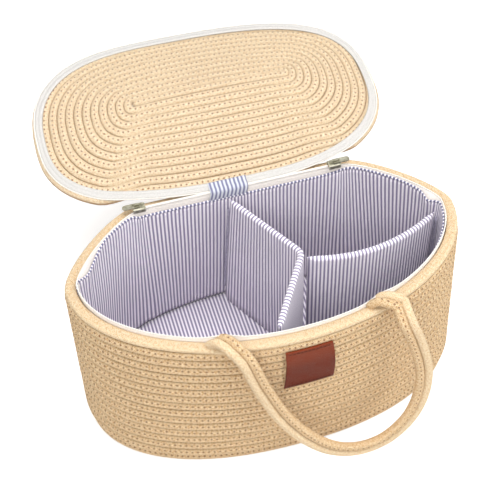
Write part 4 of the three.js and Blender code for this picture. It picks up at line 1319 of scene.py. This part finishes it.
# %% Cut the patch
PATCH_X, PATCH_WIDTH, PATCH_TOP, PATCH_HEIGHT = 7.0, 46.0, 168.8, 55.0
u, v = np.meshgrid(np.linspace(-1, 1, 25), np.linspace(-1, 1, 29), indexing="ij")
bulge = 1.0 - 0.05 * (1 - v ** 2) * (u < 0) + 0.06 * (1 - v ** 2) * (u > 0)
x = PATCH_X + PATCH_WIDTH / 2 * u * bulge
z = PATCH_TOP - PATCH_HEIGHT / 2 + PATCH_HEIGHT / 2 * v
front_turns = np.linspace(math.pi * 1.3, math.pi * 1.7, 2001)


def wall_front(x, z, stand_off):
    line_x = body_point(front_turns, 140, 0)[:, 0]
    turn = np.interp(x, line_x, front_turns)
    return body_point(turn, z, -stand_off)


stand_off = 0.9 + 1.5 * (1 - v ** 2) * np.abs(u) ** 3 + 0.25 * np.sin(2.4 * v + 1.3 * u)
patch = wrap_grid("leather_patch_cut", wall_front(x, z, stand_off), along=np.linspace(0, PATCH_WIDTH, 25) * MM,
                  across=np.linspace(0, PATCH_HEIGHT, 29) * MM)
thick = patch.modifiers.new("thickness", "SOLIDIFY")
thick.thickness = 0.0016
thick.offset = 0
soft = patch.modifiers.new("edge", "BEVEL")
soft.width = 0.0004
soft.segments = 2
apply_modifiers(patch)


def leather_material(name):
    material, bench, shader = new_material(name, roughness=0.42, specular=0.2)
    uv = bench.add("ShaderNodeUVMap", uv_map="UVMap")
    parts = bench.add("ShaderNodeSeparateXYZ")
    bench.wire(uv.outputs[0], parts.inputs[0])
    cells = bench.add("ShaderNodeTexVoronoi", feature="DISTANCE_TO_EDGE")
    bench.wire(uv.outputs[0], cells.inputs["Vector"])
    cells.inputs["Scale"].default_value = 900
    clouds = bench.noise(uv.outputs[0], 60, 4, 0.6)
    tint = bench.mix(clouds, colour(84, 24, 2), colour(110, 36, 4))
    upper = bench.span(parts.outputs["Y"], 0.024, 0.046)
    tint = bench.mix(bench.math("MULTIPLY", upper, 0.45), tint, colour(140, 56, 16))
    bench.wire(tint, shader.inputs["Base Color"])
    rough = bench.span(clouds, 0.3, 0.7, 0.34, 0.5)
    bench.wire(rough, shader.inputs["Roughness"])
    grain = bench.math("MULTIPLY_ADD", cells.outputs["Distance"], 60, clouds)
    bump(bench, shader, grain, 0.25, 0.0002)
    return material


leather = leather_material("brown_leather")
coat(patch, leather)
finish_piece(patch, "basket", ["leather_patch"])

# %% [markdown]
# ### The patch's stitches
#
# Two rows of dark thread hold it. One stitch is a short rounded bar; it is modelled once and
# copied along both edges.

# %% Sew the patch
def dark_thread():
    material, bench, shader = new_material("dark_thread", roughness=0.7)
    source = bench.add("ShaderNodeTexCoord").outputs["Object"]
    fibre = bench.noise(source, 2500, 2)
    tint = bench.mix(fibre, colour(58, 26, 16), colour(92, 46, 28))
    bench.wire(tint, shader.inputs["Base Color"])
    bump(bench, shader, fibre, 0.4, 0.0002)
    return material


thread = dark_thread()
STITCHES = 11
for row, level in (("top", PATCH_TOP - 3.2), ("bottom", PATCH_TOP - PATCH_HEIGHT + 3.2)):
    bars = []
    for k in range(STITCHES):
        x = PATCH_X + (k - (STITCHES - 1) / 2) * (PATCH_WIDTH - 5) / STITCHES
        spot = wall_front(x, level, 2.0)
        clear_selection()
        bpy.ops.mesh.primitive_cylinder_add(vertices=8, radius=0.00045, depth=0.0026, rotation=(0, math.pi / 2, 0), location=spot * MM)
        bar = bpy.context.object
        bevel = bar.modifiers.new("round", "BEVEL")
        bevel.width = 0.0003
        bevel.segments = 2
        apply_modifiers(bar)
        bars.append(bar)
    clear_selection()
    for bar in bars:
        bar.select_set(True)
    bpy.context.view_layer.objects.active = bars[0]
    bpy.ops.object.join()
    seam = bpy.context.object
    seam.name = "patch_seam_" + row
    bpy.ops.object.transform_apply(location=True, rotation=True, scale=True)
    coat(seam, thread)
    finish_piece(seam, "basket")

# %% [markdown]
# ## Materials for the solids that stay
#
# The sliders, pulls, chain and teeth are rigid, and their solids already have the right shape.
# They only need a finish: worn grey-green plating on the sliders, and pale moulded teeth.

# %% Metal, teeth, fuzz and board
def slider_metal():
    material, bench, shader = new_material("slider_plating", roughness=0.38, specular=0.5)
    source = bench.add("ShaderNodeTexCoord").outputs["Object"]
    wear = bench.noise(source, 300, 3)
    tint = bench.mix(bench.span(wear, 0.35, 0.65), colour(156, 153, 132), colour(192, 189, 170))
    bench.wire(tint, shader.inputs["Base Color"])
    bench.wire(bench.span(wear, 0.3, 0.7, 0.3, 0.5), shader.inputs["Roughness"])
    bench.feed(shader.inputs["Metallic"], 0.85)
    bump(bench, shader, bench.noise(source, 1500, 2), 0.1, 0.0001)
    return material


def teeth_plastic():
    material, bench, shader = new_material("coil_teeth", roughness=0.45, specular=0.5)
    source = bench.add("ShaderNodeTexCoord").outputs["Object"]
    parts = bench.add("ShaderNodeSeparateXYZ")
    bench.wire(source, parts.inputs[0])
    ripple = bench.math("SINE", bench.math("MULTIPLY", parts.outputs["X"], 2 * math.pi / 0.0013))
    tint = bench.mix(bench.span(ripple, -1, 1), colour(222, 214, 204), colour(246, 242, 236))
    bench.wire(tint, shader.inputs["Base Color"])
    bump(bench, shader, ripple, 0.5, 0.0003)
    return material


def fuzzy(name, low, high):
    material, bench, shader = new_material(name, roughness=1.0, specular=0.1)
    source = bench.add("ShaderNodeTexCoord").outputs["Object"]
    fuzz = bench.noise(source, 900, 4, 0.7)
    tint = bench.mix(bench.span(fuzz, 0.35, 0.65), low, high)
    bench.wire(tint, shader.inputs["Base Color"])
    bump(bench, shader, fuzz, 0.9, 0.0008)
    shader.inputs["Sheen Weight"].default_value = 0.4
    return material


plating = slider_metal()
teeth = teeth_plastic()
board = fuzzy("grey_board", colour(140, 134, 124), colour(168, 162, 150))
loops = fuzzy("loop_fuzz", colour(138, 132, 156), colour(190, 184, 202))
# The tab's cloth is the lining's stripe painted darker, as painted shade, so that its pale stripes don't clip in
# the lamps' light.
tab_shaded_cloth = cloth_material(
    "tab_shaded_cloth", pitch=0.0040, share=0.5, pale=colour(204, 206, 214), dark=colour(122, 124, 150)
)
coat(tab, tab_shaded_cloth)
coat(lid_bead, teeth)
coat(rim_bead, teeth)
FINISHES = {
    "left_slider": plating, "right_slider": plating,
    "left_slider_pull": plating, "right_slider_pull": plating,
    "hinge_zip_chain": teeth,
    "floor_board": board, "cross_divider_board": board, "long_divider_board": board,
}
for name, material in FINISHES.items():
    coat(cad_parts[name], material)

# %% [markdown]
# ### Hook and loop strips
#
# The dividers' ends carry narrow hook strips, which press on loop strips that are sewn to the
# lining. They are hardly wider than a divider, so they are hidden behind its end, and each is a
# thin grid.

# %% Put hook strips on the dividers' ends
def hook_strip(name, end, along, lean, solid):
    low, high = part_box(solid)
    side = np.array([-along[1], along[0]])
    places = np.empty((2, 25, 3))
    for i, half in enumerate((-2.4, 2.4)):
        for j, z in enumerate(np.linspace(low.z / MM, high.z / MM, 25)):
            drop = (CROSS_TOP - z) / (CROSS_TOP - DIVIDER_FOOT)
            places[i, j] = [*(end + side * half + np.asarray(along) * 0.4 + np.asarray(lean) * drop), z]
    strip = wrap_grid(name, places)
    thick = strip.modifiers.new("thickness", "SOLIDIFY")
    thick.thickness = 0.0006
    thick.offset = 0
    apply_modifiers(strip)
    coat(strip, loops)
    return finish_piece(strip, "divider_set", [solid])


hook_strip("back_hook_patch", cross_back, (0, 1), END_LEAN, "back_hook_strip")
hook_strip("front_hook_patch", cross_front, (0, -1), (0, 0), "front_hook_strip")
hook_strip("right_hook_patch", long_end, (1, 0), (0, 0), "right_hook_strip")

# %% Lay the loop strips
LOOP_HALF = 2.6


def loop_strip(name, turn_of, solid):
    low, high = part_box(solid)
    places = np.empty((2, 25, 3))
    for i, side in enumerate((-LOOP_HALF, LOOP_HALF)):
        for j, z in enumerate(np.linspace(low.z / MM, high.z / MM, 25)):
            places[i, j] = body_point(turn_of(side, z), z, LINING_INSET + CLOTH + 1.6)
    strip = wrap_grid(name, places)
    thick = strip.modifiers.new("thickness", "SOLIDIFY")
    thick.thickness = 0.0006
    apply_modifiers(strip)
    coat(strip, loops)
    return finish_piece(strip, "basket", [solid])


def turn_by_x(x, z, first, last):
    turns = np.linspace(first, last, 721)
    line = body_point(turns, z, LINING_INSET)
    return turns[np.argmin(np.abs(line[:, 0] - x))]


def turn_by_y(y, z):
    turns = np.linspace(-0.5, 0.5, 721)
    line = body_point(turns, z, LINING_INSET)
    return turns[np.argmin(np.abs(line[:, 1] - y))]


def back_x(side, z):
    return cross_back[0] + 3.2 + side + END_LEAN[0] * (CROSS_TOP - z) / (CROSS_TOP - DIVIDER_FOOT)


loop_strip("back_loop_patch", lambda side, z: turn_by_x(back_x(side, z), z, 0.1, 3.0), "back_loop_strip")
loop_strip("front_loop_patch", lambda side, z: turn_by_x(cross_front[0] + side, z, 3.3, 6.1), "front_loop_strip")
loop_strip("right_loop_patch", lambda side, z: turn_by_y(long_end[1] + side, z), "right_loop_strip")

# %% [markdown]
# ## Floor and light
#
# The photograph is a plain studio picture: white all round, with a faint shadow under the basket.
# The floor is white where the camera sees it, and keeps the shadow. Large soft lamps and a pale
# world light the object so that a colour comes out about as it is written.

# %% White floor and soft lamps
def white_floor():
    clear_selection()
    bpy.ops.mesh.primitive_plane_add(size=12, location=(0, 0, 0))
    ground = bpy.context.object
    ground.name = "studio_floor"
    ground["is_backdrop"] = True
    material, bench, shader = new_material("studio_white", roughness=0.9, specular=0.0)
    shader.inputs["Base Color"].default_value = (0.86, 0.86, 0.86, 1)
    shader.inputs["Emission Color"].default_value = (1, 1, 1, 1)
    seen = bench.add("ShaderNodeLightPath").outputs["Is Camera Ray"]
    bench.wire(bench.math("MULTIPLY", seen, 0.4), shader.inputs["Emission Strength"])
    coat(ground, material)
    return ground


white_floor()

world = bpy.data.worlds.new("studio")
bpy.context.scene.world = world
world.use_nodes = True
world.node_tree.nodes.clear()
bench = Bench(world.node_tree)
plain = bench.add("ShaderNodeBackground")
plain.inputs["Strength"].default_value = 0.64
white = bench.add("ShaderNodeBackground")
white.inputs["Strength"].default_value = 1.0
path_of = bench.add("ShaderNodeLightPath")
seen = bench.math("MAXIMUM", path_of.outputs["Is Camera Ray"], path_of.outputs["Is Glossy Ray"])
either = bench.add("ShaderNodeMixShader")
bench.wire(seen, either.inputs[0])
bench.wire(plain.outputs[0], either.inputs[1])
bench.wire(white.outputs[0], either.inputs[2])
out = bench.add("ShaderNodeOutputWorld")
bench.wire(either.outputs[0], out.inputs["Surface"])


def softbox(name, place, aim, size, power):
    bpy.ops.object.light_add(type="AREA", location=place)
    lamp = bpy.context.object
    lamp.name = name
    lamp.data.shape = "SQUARE"
    lamp.data.size = size
    lamp.data.energy = power
    lamp.rotation_euler = (Vector(aim) - Vector(place)).to_track_quat("-Z", "Y").to_euler()


softbox("key_lamp", (-0.6, -1.1, 1.4), (0, 0, 0.08), 1.0, 12)
softbox("fill_lamp", (1.4, -0.8, 1.1), (0, 0, 0.1), 1.4, 13)
softbox("top_lamp", (0.05, -0.1, 1.7), (0, 0.05, 0.1), 1.1, 21)
bpy.context.scene.view_settings.view_transform = "Standard"

# %% [markdown]
# ## The visual box
#
# The box round every piece that renders, the floor left out, is printed.

# %% Print the visual box
low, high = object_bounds()
print("visual box", [round(v, 4) for v in low], [round(v, 4) for v in high])
